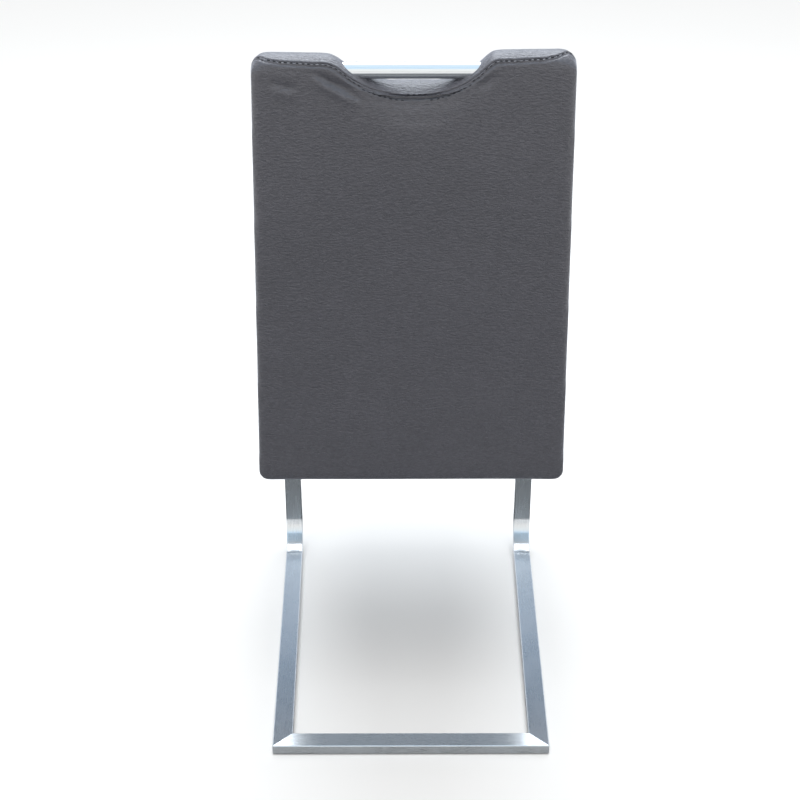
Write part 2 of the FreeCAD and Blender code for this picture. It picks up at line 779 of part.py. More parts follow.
def make_seat_foam():
    """Foam over the seat board and down round the battens."""
    body = new_body("seat_foam_block")
    inset = S.cover_thickness + S.clearance
    seat_form(body, inset)
    margin = inset + S.seat_side_foam
    hollow = sketch_on(body, "XY_Plane")
    front = SEAT_FRONT + S.seat_bow + margin
    draw_path(hollow, seat_plan(front, seat_rear(ZERO, margin), margin))
    pocket(body, hollow, BOARD_TOP + S.clearance - SEAT_BASE, forward=True)
    slots = tube_slots(body, BATTEN_BASE - SEAT_BASE - S.clearance)
    pocket(body, slots, seat_rear(S.seat_height * 2) - seat_rear(ZERO, margin * 2), forward=True)
    return fuse("seat_foam", body, seat_pillow("seat_foam_crown", inset))


def wood_piece(name, plan, base, thickness):
    """A flat wooden piece of the seat, from its plan."""
    body = new_body(name)
    place(body, z=base)
    pad(body, draw_path(sketch_on(body, "XY_Plane"), plan), thickness)
    return body


def seat_wood_margin():
    """From the seat's outside to its wooden frame."""
    return S.cover_thickness + S.seat_side_foam + S.clearance * 2


def seat_wood_front():
    return SEAT_FRONT + S.seat_bow + seat_wood_margin()


def seat_wood_rear():
    return seat_rear(ZERO, seat_wood_margin())


def make_seat_wood():
    """The seat's wooden frame of four battens and the plywood board that closes it."""
    margin = seat_wood_margin()
    front = seat_wood_front()
    rear = seat_wood_rear()
    inner = margin + S.batten_width
    pieces = []
    for side in (-1, 1):
        plan = [
            (seat_half_width(front, margin) * side, front), (seat_half_width(rear, margin) * side, rear),
            (seat_half_width(rear, inner) * side, rear), (seat_half_width(front, inner) * side, front),
        ]
        name = "seat_side_batten_left" if side > 0 else "seat_side_batten_right"
        pieces.append(wood_piece(name, plan, BATTEN_BASE, S.inner_tube))
    plan = seat_plan(front, front + S.batten_width, inner)
    pieces.append(wood_piece("seat_front_batten", plan, BATTEN_BASE, S.inner_tube))
    half = INNER_HALF - S.inner_tube / 2
    plan = [(-half, rear - S.batten_width), (half, rear - S.batten_width), (half, rear), (-half, rear)]
    pieces.append(wood_piece("seat_rear_batten", plan, BATTEN_BASE, S.inner_tube))

    board = wood_piece("seat_board", seat_plan(front, rear, margin), BATTEN_TOP, S.board_thickness)
    middle = (front + rear) / 2
    upright = S.board_thickness / 2
    round_edges(
        board, S.seat_corner / 2,
        lambda edge: edge.BoundBox.ZLength > upright.value and edge.BoundBox.YMax < middle.value,
    )
    pieces.append(board)
    return pieces


def make_underlining():
    """The black cloth that closes the seat's underside inside the hem."""
    inset = S.hem_width + S.clearance
    plan = seat_plan(SEAT_FRONT + S.seat_bow + inset, seat_rear(ZERO, inset), inset)
    body = wood_piece("seat_underlining", plan, SEAT_BASE, S.underlining_thickness)
    holes = sketch_on(body, "XY_Plane")
    for x, y, _ in bolt_places(ZERO):
        draw_circle(holes, x, y, S.rivet_nut_diameter + S.clearance * 2)
    pocket(body, holes)
    return body


def back_point(depth, height):
    """A place in the back's frame, as world depth and height."""
    y = BACK_Y - depth * cosine(S.back_lean) + height * sine(S.back_lean)
    z = S.back_base_height + depth * sine(S.back_lean) + height * cosine(S.back_lean)
    return y, z


def make_inner_tube(name, side):
    """A square tube bent from the seat up into the back, the backbone of the upholstered part."""
    body = new_body(name)
    start_y = seat_wood_front() + S.batten_width
    start_z = BATTEN_BASE + S.inner_tube / 2
    place(body, INNER_HALF * side, start_y, start_z)

    bend = S.inner_bend_radius + S.inner_tube / 2
    foot_y, foot_z = back_point(BACK_FRAME_MIDDLE, ZERO)
    corner_y = foot_y + (start_z - foot_z) * tangent(S.back_lean) - start_y
    rise = (corner_y + start_y - BACK_Y) * sine(S.back_lean)
    corner_height = rise + (start_z - S.back_base_height) * cosine(S.back_lean)
    reach = bend * tangent((as_size(90) - S.back_lean) / 2)
    straight = corner_y - reach
    turned_y = straight + bend * cosine(S.back_lean)
    turned_z = bend - bend * sine(S.back_lean)
    upright = S.back_height - S.upright_gap - corner_height - reach
    route = [
        (ZERO, ZERO), (straight, ZERO), (turned_y, turned_z),
        (turned_y + upright * sine(S.back_lean), turned_z + upright * cosine(S.back_lean)),
    ]
    path = sketch_on(body, "YZ_Plane")
    draw_path(path, route, {1: (bend, 1)}, closed=False)
    profile = sketch_on(body, "XZ_Plane")
    for half in (S.inner_tube / 2, S.inner_tube / 2 - S.inner_wall):
        draw_box(profile, -half, -half, half, half)
    sweep(body, profile, path, 3)

    nut_holes = sketch_on(body, "XY_Plane", -(S.inner_tube / 2))
    for x, y, _ in bolt_places(ZERO):
        if x.value * side > 0:
            draw_circle(nut_holes, ZERO, y - start_y, S.rivet_nut_diameter + S.clearance)
    pocket(body, nut_holes, S.inner_wall * 2, forward=True)
    return body


def make_back_bar(name, height):
    """A square tube welded between the two uprights."""
    body = new_body(name)
    place_on_back(body)
    half = INNER_HALF - S.inner_tube / 2
    section = sketch_on(body, "YZ_Plane")
    low = height - S.inner_tube / 2
    high = height + S.inner_tube / 2
    draw_box(section, -BACK_FRAME_FRONT, low, -BACK_FRAME_REAR, high)
    wall = S.inner_wall
    draw_box(section, wall - BACK_FRAME_FRONT, low + wall, -BACK_FRAME_REAR - wall, high - wall)
    pad(body, section, half * 2, symmetric=True)
    return body


def back_half_width(height, inset):
    """Half the back's width at a height along it, less an inset."""
    taper = (S.back_bottom_width - S.back_top_width) / 2 / S.back_height
    return S.back_bottom_width / 2 - height * taper - inset


def back_outline(sketch, low, inset):
    """The back seen square on, from a height up: tapered sides, two horns and the scoop between."""
    top = S.back_height - inset
    radius = S.scoop_radius + inset
    drop = SCOOP_CENTRE - top
    mouth = root(radius * radius - drop * drop)
    low_half = back_half_width(low, inset)
    top_half = back_half_width(top, inset)
    corners = [
        (-low_half, low), (low_half, low), (top_half, top), (mouth, top), (-mouth, top), (-top_half, top),
    ]
    return draw_path(sketch, corners, {3: (radius, -1)})


def back_form(body, inset):
    """The back's padded form without its crown: the scoop, rounded corners and soft edges."""
    outline = sketch_on(body, "XZ_Plane", inset)
    lowest = -(S.back_thickness * tangent(S.back_lean)) - S.back_edge
    back_outline(outline, lowest, inset)
    pad(body, outline, S.back_thickness - inset * 2)

    floor = sketch_on(body, "YZ_Plane")
    lean = tangent(S.back_lean)
    rise = inset / cosine(S.back_lean)
    far = S.back_thickness * 2
    deep = lowest * 2
    draw_path(floor, [(far, deep), (far, far * lean + rise), (-far, rise - far * lean), (-far, deep)])
    pocket(body, floor)

    through = S.back_thickness / 2
    near_top = S.back_height - S.scoop_depth * 2
    scoop_zone = S.back_top_width / 2 - S.horn_corner * 3
    level = S.clearance.value
    round_edges(
        body, S.back_corner - inset,
        lambda edge: edge.BoundBox.YLength > through.value and edge.BoundBox.ZMax < near_top.value,
    )
    round_edges(
        body, S.horn_corner - inset,
        lambda edge: edge.BoundBox.YLength > through.value and edge.BoundBox.ZMin > near_top.value
        and min(abs(edge.BoundBox.XMin), abs(edge.BoundBox.XMax)) > scoop_zone.value,
    )
    round_edges(
        body, S.scoop_corner + inset,
        lambda edge: edge.BoundBox.YLength > through.value and edge.BoundBox.ZMin > near_top.value
        and edge.BoundBox.XLength < level and abs(edge.BoundBox.XMax) < scoop_zone.value,
    )
    soften_edges(
        body, S.back_edge, inset,
        lambda edge: edge.BoundBox.YLength < level and edge.BoundBox.YMin > -through.value,
    )
    bevel_edges(
        body, S.back_edge * INNER_BEVEL,
        lambda edge: edge.BoundBox.YLength < level and edge.BoundBox.YMax < -through.value,
    )


def back_pillow(name, inset):
    """The crown of the back's front face, from above the seat to below the scoop."""
    body = pillow(
        name, S.back_top_width / 2 - S.horn_corner, S.seat_height + S.back_corner * 2,
        S.back_height - S.scoop_depth - S.scoop_corner, S.back_crown,
    )
    place(body, y=inset - S.back_thickness, turn=as_size(90), axis=(1, 0, 0))
    return body


def make_back_cover():
    """The back's cover, sewn from a rear panel, a front panel and a band round the horns and scoop."""
    block = new_body("back_outside_block")
    back_form(block, ZERO)
    outer = fuse("back_outside", block, back_pillow("back_outside_crown", ZERO))

    inner = new_body("back_inside_block")
    back_form(inner, S.cover_thickness)
    grip = sketch_on(inner, "YZ_Plane")
    draw_circle(grip, -BACK_FRAME_MIDDLE, GRIP_HEIGHT, S.grip_diameter + S.clearance * 2)
    pad(inner, grip, INNER_HALF * 2, symmetric=True)
    slots = sketch_on(inner, "XZ_Plane", BACK_FRAME_FRONT)
    room = S.inner_tube / 2 + S.clearance
    foot = BATTEN_BASE - S.back_base_height
    low = foot - S.clearance - S.back_thickness * tangent(S.back_lean)
    high = foot + S.inner_tube + S.clearance
    for side in (-1, 1):
        draw_box(slots, INNER_HALF * side - room, low, INNER_HALF * side + room, high)
    pad(inner, slots, S.back_thickness)

    inside = fuse("back_inside", inner, back_pillow("back_inside_crown", S.cover_thickness))
    shell = cut("back_shell", outer, inside)
    band_zone = slab(
        "back_band_zone", S.back_edge - S.back_thickness, -S.back_edge,
        S.back_height - S.scoop_depth - S.band_drop, S.back_height * 2,
    )
    band = common("back_cover_band", shell, band_zone)
    panels = cut("back_panels", shell, band_zone)
    rear_zone = slab(
        "back_rear_zone", -(S.back_thickness / 2), S.back_thickness, -S.back_height, S.back_height * 2,
    )
    pieces = [
        common("back_cover_rear", panels, rear_zone), cut("back_cover_front", panels, rear_zone), band,
    ]
    for piece in pieces:
        place_on_back(piece)
    return pieces


def split_at_head(whole, name, head_name):
    """A foam of the back as two glued pieces: the main one, and the head with the horns and scoop."""
    joint = S.back_height - S.scoop_depth - S.head_joint_drop
    zone = slab(f"{head_name}_zone", -(S.back_thickness * 2), S.back_thickness, joint, S.back_height * 2)
    pieces = [cut(name, whole, zone), common(head_name, whole, zone)]
    for piece in pieces:
        place_on_back(piece)
    return pieces


def make_back_foam():
    """Wadding behind the back board and foam in front of it, round the square tubes and the grip."""
    inset = S.cover_thickness + S.clearance
    rear_face = S.cover_thickness + S.rear_foam + S.clearance
    board_rear = rear_face + S.clearance
    deep = S.back_thickness * 2

    wadding = new_body("back_wadding_block")
    back_form(wadding, inset)
    ahead = sketch_on(wadding, "XZ_Plane", rear_face)
    wide = S.back_bottom_width
    draw_box(ahead, -wide, -S.back_height, wide, S.back_height * 2)
    pocket(wadding, ahead, deep, forward=True)

    foam = new_body("back_foam_block")
    back_form(foam, inset)
    behind = sketch_on(foam, "XZ_Plane", board_rear)
    draw_box(behind, -wide, -S.back_height, wide, S.back_height * 2)
    pocket(foam, behind, deep)
    board_room = sketch_on(foam, "XZ_Plane", BACK_FRAME_REAR)
    back_outline(board_room, S.back_board_margin, S.back_board_margin - S.clearance)
    pocket(foam, board_room, deep)

    room = S.inner_tube / 2 + S.clearance
    uprights = sketch_on(foam, "XZ_Plane", BACK_FRAME_FRONT + S.clearance)
    top = S.back_height - S.upright_gap + S.clearance
    for side in (-1, 1):
        draw_box(uprights, INNER_HALF * side - room, -S.back_thickness, INNER_HALF * side + room, top)
    pocket(foam, uprights, deep)
    bars = sketch_on(foam, "XZ_Plane", BACK_FRAME_FRONT + S.clearance)
    for height in back_bar_heights():
        draw_box(bars, -INNER_HALF, height - room, INNER_HALF, height + room)
    pocket(foam, bars, deep)
    feet = sketch_on(foam, "XZ_Plane", BACK_FRAME_REAR)
    bend_top = S.inner_tube * 2 + S.inner_bend_radius
    for side in (-1, 1):
        draw_box(feet, INNER_HALF * side - room, -S.back_thickness, INNER_HALF * side + room, bend_top)
    pocket(foam, feet, deep, forward=True)

    grip = sketch_on(foam, "YZ_Plane")
    draw_circle(grip, -BACK_FRAME_MIDDLE, GRIP_HEIGHT, S.grip_diameter + S.clearance * 2)
    pocket(foam, grip, INNER_HALF * 2, symmetric=True)
    cushion = fuse("back_foam_whole", foam, back_pillow("back_foam_crown", inset))
    pieces = split_at_head(wadding, "back_foam_rear", "back_head_wadding")
    return pieces + split_at_head(cushion, "back_foam_front", "back_head_foam")


def back_bar_heights():
    return [S.bottom_bar_height, S.back_height - S.top_bar_drop]


def make_back_board():
    """The plywood behind the square tubes that keeps the back's rear face flat."""
    body = new_body("back_board")
    place_on_back(body)
    rear = BACK_FRAME_REAR - S.back_board_thickness
    outline = sketch_on(body, "XZ_Plane", rear)
    back_outline(outline, S.back_board_margin + S.clearance, S.back_board_margin)
    pad(body, outline, S.back_board_thickness)
    return body


def make_grip():
    """The round hand grip, and the spigots welded to the uprights that its ends slide over."""
    half = INNER_HALF - S.inner_tube / 2
    tube = new_body("grip_tube")
    place_on_back(tube)
    ring = sketch_on(tube, "YZ_Plane")
    bore = S.grip_diameter - S.grip_wall * 2
    for diameter in (S.grip_diameter, bore):
        draw_circle(ring, -BACK_FRAME_MIDDLE, GRIP_HEIGHT, diameter)
    pad(tube, ring, half * 2, symmetric=True)

    spigots = []
    for side in (-1, 1):
        body = new_body("grip_spigot_left" if side > 0 else "grip_spigot_right")
        place_on_back(body)
        disc = sketch_on(body, "YZ_Plane", half * side)
        draw_circle(disc, -BACK_FRAME_MIDDLE, GRIP_HEIGHT, bore - S.clearance)
        pad(body, disc, S.spigot_length, backward=side > 0)
        spigots.append(body)
    return [tube, group("grip_spigots", spigots)]


def build():
    """Build every piece and return them, each with the name that it is known by."""
    pieces = [make_floor_crossbar()]
    pieces.append(make_side_frame("side_frame_left", 1))
    pieces.append(make_side_frame("side_frame_right", -1))
    pieces.append(make_seat_crossbar("seat_crossbar_front", S.front_bar_reach))
    pieces.append(make_seat_crossbar("seat_crossbar_rear", REAR_BAR_REACH))
    pieces.append(make_end_caps())
    pieces.append(make_floor_glides())
    pieces.extend(make_seat_bolts())
    pieces.append(make_inner_tube("inner_tube_left", 1))
    pieces.append(make_inner_tube("inner_tube_right", -1))
    pieces.append(make_back_bar("back_bar_lower", back_bar_heights()[0]))
    pieces.append(make_back_bar("back_bar_upper", back_bar_heights()[1]))
    pieces.extend(make_seat_wood())
    pieces.append(make_seat_foam())
    pieces.extend(make_seat_cover())
    pieces.append(make_underlining())
    pieces.append(make_back_board())
    pieces.extend(make_back_foam())
    pieces.extend(make_back_cover())
    pieces.extend(make_grip())
    for piece in pieces:
        piece.Label = piece.Name
    return pieces


def check(pieces):
    """Stop if anything in the document failed or a piece has no sound shape."""
    DOCUMENT.recompute()
    for thing in DOCUMENT.Objects:
        if "Invalid" in thing.State or "Error" in thing.State:
            raise RuntimeError(f"{thing.Name} is {thing.State}")
    for piece in pieces:
        if piece.Shape.isNull() or not piece.Shape.isValid() or not piece.Shape.Solids:
            raise RuntimeError(f"{piece.Label} has no sound shape")


def main():
    pieces = build()
    check(pieces)
    os.makedirs("parts", exist_ok=True)
    for piece in pieces:
        piece.Shape.exportStep(f"parts/{piece.Label}.step")
        box = piece.Shape.BoundBox
        print(f"{piece.Label}: {len(piece.Shape.Solids)} solids, {piece.Shape.Volume / 1000:.1f} cm3, "
              f"x {box.XMin:.1f}..{box.XMax:.1f} y {box.YMin:.1f}..{box.YMax:.1f} "
              f"z {box.ZMin:.1f}..{box.ZMax:.1f}")


main()
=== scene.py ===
"""The looks of a cantilever dining chair: padded back and seat, hand grip and bent flat steel tube.

Sizes are in metres. +Z is up, the sitter faces -Y, and the chair stands on the floor at Z 0.
"""

import json
import logging
import math
from collections.abc import Callable, Iterable, Mapping
from dataclasses import dataclass
from enum import Enum

import bmesh
import bpy
from bmesh.types import BMesh, BMEdge, BMFace, BMVert
from bpy.types import ID, Material, Mesh, Node, NodeSocket, NodeTree, Object
from mathutils import Matrix, Vector
from mathutils.bvhtree import BVHTree
from mathutils.kdtree import KDTree


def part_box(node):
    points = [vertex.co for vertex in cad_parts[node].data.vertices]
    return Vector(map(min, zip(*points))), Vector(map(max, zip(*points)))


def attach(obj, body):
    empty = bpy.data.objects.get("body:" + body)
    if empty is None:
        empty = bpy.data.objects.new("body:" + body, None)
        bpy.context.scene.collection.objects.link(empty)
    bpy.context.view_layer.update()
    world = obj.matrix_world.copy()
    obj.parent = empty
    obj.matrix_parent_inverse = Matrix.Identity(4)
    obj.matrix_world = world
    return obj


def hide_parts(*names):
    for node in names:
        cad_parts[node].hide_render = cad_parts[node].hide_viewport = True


LOG = logging.getLogger("chair")

Color = tuple[float, float, float]
Pairs = tuple[tuple[float, float], ...]

# The back's foot, lean and thickness, which the seat's rear end follows too.
BACK_FOOT = (0.0, 0.2074, 0.4234)
BACK_LEAN = math.radians(8.7)
BACK_THICK = 0.048

# How two sewn covers stand out beside their seam: a stitched lip on one side, plain on the other.
STITCHED_LIPS: Pairs = (
    (-0.005, 0.0), (-0.0022, 0.0005), (-0.0007, 0.0), (0.0, -0.0014), (0.0006, 0.0), (0.0018, 0.0008),
    (0.003, 0.0003), (0.004, -0.0005), (0.005, 0.0001), (0.0065, 0.0005), (0.01, 0.0),
)
PLAIN_LIPS: Pairs = ((-0.004, 0.0), (-0.001, 0.0003), (0.0, -0.0013), (0.001, 0.0003), (0.004, 0.0))

# The cloth simulation that swells the pads.
CLOTH_QUALITY = 4
CLOTH_PRESSURE = 4.0
CLOTH_FRAMES = 20

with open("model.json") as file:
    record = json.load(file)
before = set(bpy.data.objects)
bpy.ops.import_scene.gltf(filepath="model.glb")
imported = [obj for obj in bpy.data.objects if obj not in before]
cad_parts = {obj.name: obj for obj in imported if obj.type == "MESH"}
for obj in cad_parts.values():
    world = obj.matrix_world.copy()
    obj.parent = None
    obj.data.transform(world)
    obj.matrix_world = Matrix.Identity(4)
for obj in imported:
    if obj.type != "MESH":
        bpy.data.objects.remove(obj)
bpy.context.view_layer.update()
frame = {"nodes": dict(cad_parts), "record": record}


# Helpers for node trees.


class Pattern(Enum):
    """The surface patterns that finishes share, each named as its node group."""

    HIDE = "hide_grain"
    BRUSHED = "brush_marks"
    SPECKLE = "speckle"


class Sheet:
    """One node tree, with short calls to add nodes to it."""

    def __init__(self, tree: NodeTree) -> None:
        """Keep the tree.

        Args:
            tree: the node tree that every call adds to.
        """
        self.tree = tree

    def plug(self, socket: NodeSocket, value: object) -> None:
        """Link a socket or set its constant.

        Args:
            socket: the input to fill.
            value: an output socket to link from, or a plain value.
        """
        if isinstance(value, NodeSocket):
            self.tree.links.new(value, socket)
        else:
            socket.default_value = value

    def add(self, kind: str, inputs: dict | None = None, **settings: object) -> Node:
        """Add a node.

        Args:
            kind: the node's type name, such as ShaderNodeMath.
            inputs: values or sockets by the input's name or number.
            settings: properties of the node.

        Returns:
            The new node.
        """
        node = self.tree.nodes.new(kind)
        for name, value in settings.items():
            setattr(node, name, value)
        for name, value in (inputs or {}).items():
            self.plug(node.inputs[name], value)
        return node

    def math(self, operation: str, one: object, other: object = 0.0, clamp: bool = False) -> NodeSocket:
        """Add a Math node and return its output.

        Args:
            operation: the node's operation.
            one: first value or socket.
            other: second value or socket.
            clamp: whether the result is kept from 0 to 1.

        Returns:
            The result's socket.
        """
        node = self.add("ShaderNodeMath", {0: one, 1: other}, operation=operation, use_clamp=clamp)
        return node.outputs[0]

    def spread(self, value: object, low: float, high: float, to_low: float, to_high: float) -> NodeSocket:
        """Map a range of values onto another, clamped.

        Args:
            value: the value or socket to map.
            low: start of the range that comes in.
            high: end of the range that comes in.
            to_low: what low becomes.
            to_high: what high becomes.

        Returns:
            The mapped value's socket.
        """
        inputs = {"Value": value, "From Min": low, "From Max": high, "To Min": to_low, "To Max": to_high}
        return self.add("ShaderNodeMapRange", inputs).outputs["Result"]

    def stretched(self, point: NodeSocket, scale: tuple[float, float, float]) -> NodeSocket:
        """Scale a coordinate, so that a pattern on it has this many repeats to the metre each way.

        Args:
            point: the coordinate's socket.
            scale: repeats to the metre along X, Y and Z.

        Returns:
            The scaled coordinate's socket.
        """
        return self.add("ShaderNodeMapping", {"Vector": point, "Scale": scale}).outputs["Vector"]

    def noise(
        self, point: NodeSocket, scale: object, detail: float = 2.0, roughness: float = 0.5
    ) -> NodeSocket:
        """A noise value at a coordinate.

        Args:
            point: the coordinate's socket.
            scale: features to the unit.
            detail: octaves.
            roughness: weight of the finer octaves.

        Returns:
            The noise's socket, about 0.5.
        """
        inputs = {"Vector": point, "Scale": scale, "Detail": detail, "Roughness": roughness}
        return self.add("ShaderNodeTexNoise", inputs).outputs[0]

    def blend(self, share: object, one: object, other: object) -> NodeSocket:
        """Mix two colours.

        Args:
            share: how much of the second colour, 0 to 1.
            one: first colour.
            other: second colour.

        Returns:
            The mixed colour's socket.
        """
        share_input, color_input, other_color_input, color_output = 0, 6, 7, 2
        inputs = {share_input: share, color_input: one, other_color_input: other}
        return self.add("ShaderNodeMix", inputs, data_type="RGBA").outputs[color_output]

    def total(self, *parts: tuple[NodeSocket, float]) -> NodeSocket:
        """Add up values, each with its own weight.

        Args:
            parts: the values' sockets with their weights.

        Returns:
            The sum's socket.
        """
        result = self.math("MULTIPLY", *parts[0])
        for part in parts[1:]:
            result = self.math("ADD", result, self.math("MULTIPLY", *part))
        return result

    def contrast(self, value: object, low: float = 0.3, high: float = 0.7) -> NodeSocket:
        """Stretch the middle of a value's range to 0 to 1."""
        return self.spread(value, low, high, 0.0, 1.0)

    def add_pattern(self, kind: Pattern, inputs: dict | None = None) -> Mapping[str, NodeSocket]:
        """Add a shared pattern's node group, which is built the first time that it is asked for.

        Args:
            kind: the pattern.
            inputs: values by the input's name.

        Returns:
            The group's outputs.
        """
        tree = bpy.data.node_groups.get(kind.value) or PATTERN_MAKERS[kind]()
        return self.add("ShaderNodeGroup", inputs, node_tree=tree).outputs

    def emboss(self, shader: Node, height: NodeSocket, depth: float, strength: float) -> None:
        """Give a shader a relief.

        Args:
            shader: the shader.
            height: the relief's height, 0 to 1.
            depth: what a height of 1 is in metres.
            strength: how much of it shows.
        """
        bump = self.add("ShaderNodeBump", {"Height": height, "Distance": depth, "Strength": strength})
        self.plug(shader.inputs["Normal"], bump.outputs[0])


def new_group(name: str, numbers: dict[str, float], outputs: Iterable[str]) -> tuple[Sheet, Node, Node]:
    """Start a shader node group of number inputs and number outputs.

    Args:
        name: the group's name.
        numbers: input names with their defaults.
        outputs: output names.

    Returns:
        The group's sheet, its input node and its output node.
    """
    tree = bpy.data.node_groups.new(name, "ShaderNodeTree")
    for label, value in numbers.items():
        socket = tree.interface.new_socket(label, in_out="INPUT", socket_type="NodeSocketFloat")
        socket.default_value = value
    for label in outputs:
        tree.interface.new_socket(label, in_out="OUTPUT", socket_type="NodeSocketFloat")
    sheet = Sheet(tree)
    return sheet, sheet.add("NodeGroupInput"), sheet.add("NodeGroupOutput")


def hide_grain_group() -> NodeTree:
    """The pebbled grain and short lying creases of a synthetic leather.

    Returns:
        A group with inputs Pebbles and Creases to the metre, and outputs Height, Tone and Wear. Tone is
        random tone with painted shade in the grain's hollows and creases.
    """
    sheet, taken, given = new_group(
        "hide_grain", {"Pebbles": 620.0, "Creases": 110.0}, ("Height", "Tone", "Wear")
    )
    point = sheet.add("ShaderNodeTexCoord").outputs["Object"]
    wander = sheet.add("ShaderNodeTexNoise", {"Vector": point, "Scale": 160.0, "Detail": 2.0})
    inputs = {0: wander.outputs["Color"], 1: (0.5, 0.5, 0.5)}
    shift = sheet.add("ShaderNodeVectorMath", inputs, operation="SUBTRACT").outputs[0]
    small = sheet.add("ShaderNodeVectorMath", {0: shift, "Scale": 0.0035}, operation="SCALE").outputs[0]
    bent = sheet.add("ShaderNodeVectorMath", {0: point, 1: small}, operation="ADD").outputs[0]

    flat = sheet.stretched(bent, (0.75, 1.0, 1.25))
    cells = sheet.add("ShaderNodeTexVoronoi", {"Vector": flat, "Scale": taken.outputs["Pebbles"]})
    pebble = sheet.spread(cells.outputs["Distance"], 0.15, 0.75, 1.0, 0.0)

    lying = sheet.stretched(bent, (0.42, 1.0, 1.9))
    folds = sheet.noise(lying, taken.outputs["Creases"], detail=3.0, roughness=0.55)
    ridge = sheet.math("ABSOLUTE", sheet.math("SUBTRACT", folds, 0.5))
    depth = sheet.math("SUBTRACT", 1.0, sheet.contrast(ridge, 0.0, 0.045))
    where = sheet.spread(sheet.noise(point, 21.0), 0.38, 0.62, 0.25, 1.0)
    crease = sheet.math("SUBTRACT", 1.0, sheet.math("MULTIPLY", depth, where))
    ripple = sheet.contrast(sheet.noise(sheet.stretched(bent, (0.42, 1.0, 1.0)), 400.0))

    height = sheet.total((pebble, 0.25), (crease, 0.14), (ripple, 0.61))
    sheet.plug(given.inputs["Height"], height)
    broad = sheet.contrast(sheet.noise(point, 7.0, detail=4.0, roughness=0.6))
    fine = sheet.contrast(sheet.noise(bent, 260.0))
    tone = sheet.total((broad, 0.3), (fine, 0.25), (ripple, 0.45))
    # Painted shade: the tone is darkened where the grain is low, in its hollows and creases.
    hollow_shade = sheet.math("ADD", height, 0.35)
    sheet.plug(given.inputs["Tone"], sheet.math("MULTIPLY", tone, hollow_shade, clamp=True))
    blotches = sheet.noise(point, 38.0, detail=5.0, roughness=0.65)
    sheet.plug(given.inputs["Wear"], sheet.contrast(blotches, 0.52, 0.8))
    return sheet.tree


def brush_marks_group() -> NodeTree:
    """Fine lines along a piece's own UV run, with broader cloudy patches.

    Returns:
        A group with inputs Lines and Run to the metre, and outputs Height, Tone and Patch.
    """
    sheet, taken, given = new_group(
        "brush_marks", {"Lines": 5200.0, "Run": 26.0}, ("Height", "Tone", "Patch")
    )
    run = sheet.add("ShaderNodeUVMap", uv_map="run").outputs["UV"]
    parts = sheet.add("ShaderNodeSeparateXYZ", {"Vector": run}).outputs
    across = sheet.math("MULTIPLY", parts[0], taken.outputs["Lines"])
    along = sheet.math("MULTIPLY", parts[1], taken.outputs["Run"])
    point = sheet.add("ShaderNodeCombineXYZ", {0: across, 1: along}).outputs[0]
    broader = sheet.math("MULTIPLY", across, 0.14)
    coarse = sheet.add("ShaderNodeCombineXYZ", {0: broader, 1: along}).outputs[0]
    lines = sheet.noise(point, 1.0, roughness=0.6)
    wide = sheet.noise(coarse, 1.0, detail=3.0, roughness=0.6)
    mixed = sheet.total((lines, 0.6), (wide, 0.4))
    sheet.plug(given.inputs["Height"], mixed)
    sheet.plug(given.inputs["Tone"], sheet.contrast(mixed, 0.35, 0.65))
    place = sheet.add("ShaderNodeTexCoord").outputs["Object"]
    clouds = sheet.noise(place, 14.0, detail=4.0, roughness=0.6)
    sheet.plug(given.inputs["Patch"], sheet.contrast(clouds, 0.35))
    return sheet.tree


def speckle_group() -> NodeTree:
    """Fine even speckle with a slow drift, for mouldings, paint, plating and cloth.

    Returns:
        A group with input Scale to the metre, and outputs Height and Tone.
    """
    sheet, taken, given = new_group("speckle", {"Scale": 900.0}, ("Height", "Tone"))
    point = sheet.add("ShaderNodeTexCoord").outputs["Object"]
    fine = sheet.noise(point, taken.outputs["Scale"], detail=3.0)
    sheet.plug(given.inputs["Height"], fine)
    tone = sheet.total((fine, 0.5), (sheet.noise(point, 11.0, detail=3.0), 0.5))
    sheet.plug(given.inputs["Tone"], sheet.contrast(tone, 0.35, 0.65))
    return sheet.tree


PATTERN_MAKERS: dict[Pattern, Callable[[], NodeTree]] = {
    Pattern.HIDE: hide_grain_group,
    Pattern.BRUSHED: brush_marks_group,
    Pattern.SPECKLE: speckle_group,
}


def start_material(name: str, constants: dict[str, object] | None = None) -> tuple[Material, Sheet, Node]:
    """A new material with its Principled shader.

    Args:
        name: the material's name.
        constants: values for the shader's own sockets, by name.

    Returns:
        The material, its sheet and its shader.
    """
    made = bpy.data.materials.new(name)
    made.use_nodes = True
    shader = made.node_tree.nodes["Principled BSDF"]
    for socket, value in (constants or {}).items():
        shader.inputs[socket].default_value = value
    return made, Sheet(made.node_tree), shader


def shade(color: Color, factor: float) -> tuple[float, float, float, float]:
    """A colour made lighter or darker, with full alpha."""
    return (*(min(1.0, channel * factor) for channel in color), 1.0)


@dataclass(frozen=True)
class Leather:
    """Synthetic leather: pebbled, with short lying creases, a paler rubbed tone and painted shade in the
    grain's hollows.
    """

    name: str
    color: Color
    roughness: float = 0.38
    relief: float = 0.7
    depth: float = 0.0009
    sheen: float = 0.6
    sheen_tint: Color = (0.82, 0.87, 1.0)
    gloss: float = 1.0

    def build(self) -> Material:
        """Make the material.

        Returns:
            The material.
        """
        made, sheet, shader = start_material(self.name, {
            "Specular IOR Level": self.gloss, "Sheen Weight": self.sheen, "Sheen Roughness": 0.35,
            "Sheen Tint": (*self.sheen_tint, 1.0),
        })
        grain = sheet.add_pattern(Pattern.HIDE)
        # The grain's tone carries painted shade in its hollows and creases.
        plain = sheet.blend(grain["Tone"], shade(self.color, 0.78), shade(self.color, 1.3))
        worn = sheet.math("MULTIPLY", grain["Wear"], 0.25)
        sheet.plug(shader.inputs["Base Color"], sheet.blend(worn, plain, shade(self.color, 1.6)))
        rough = sheet.spread(grain["Height"], 0.0, 1.0, self.roughness + 0.1, self.roughness - 0.07)
        sheet.plug(shader.inputs["Roughness"], rough)
        sheet.emboss(shader, grain["Height"], self.depth, self.relief)
        return made


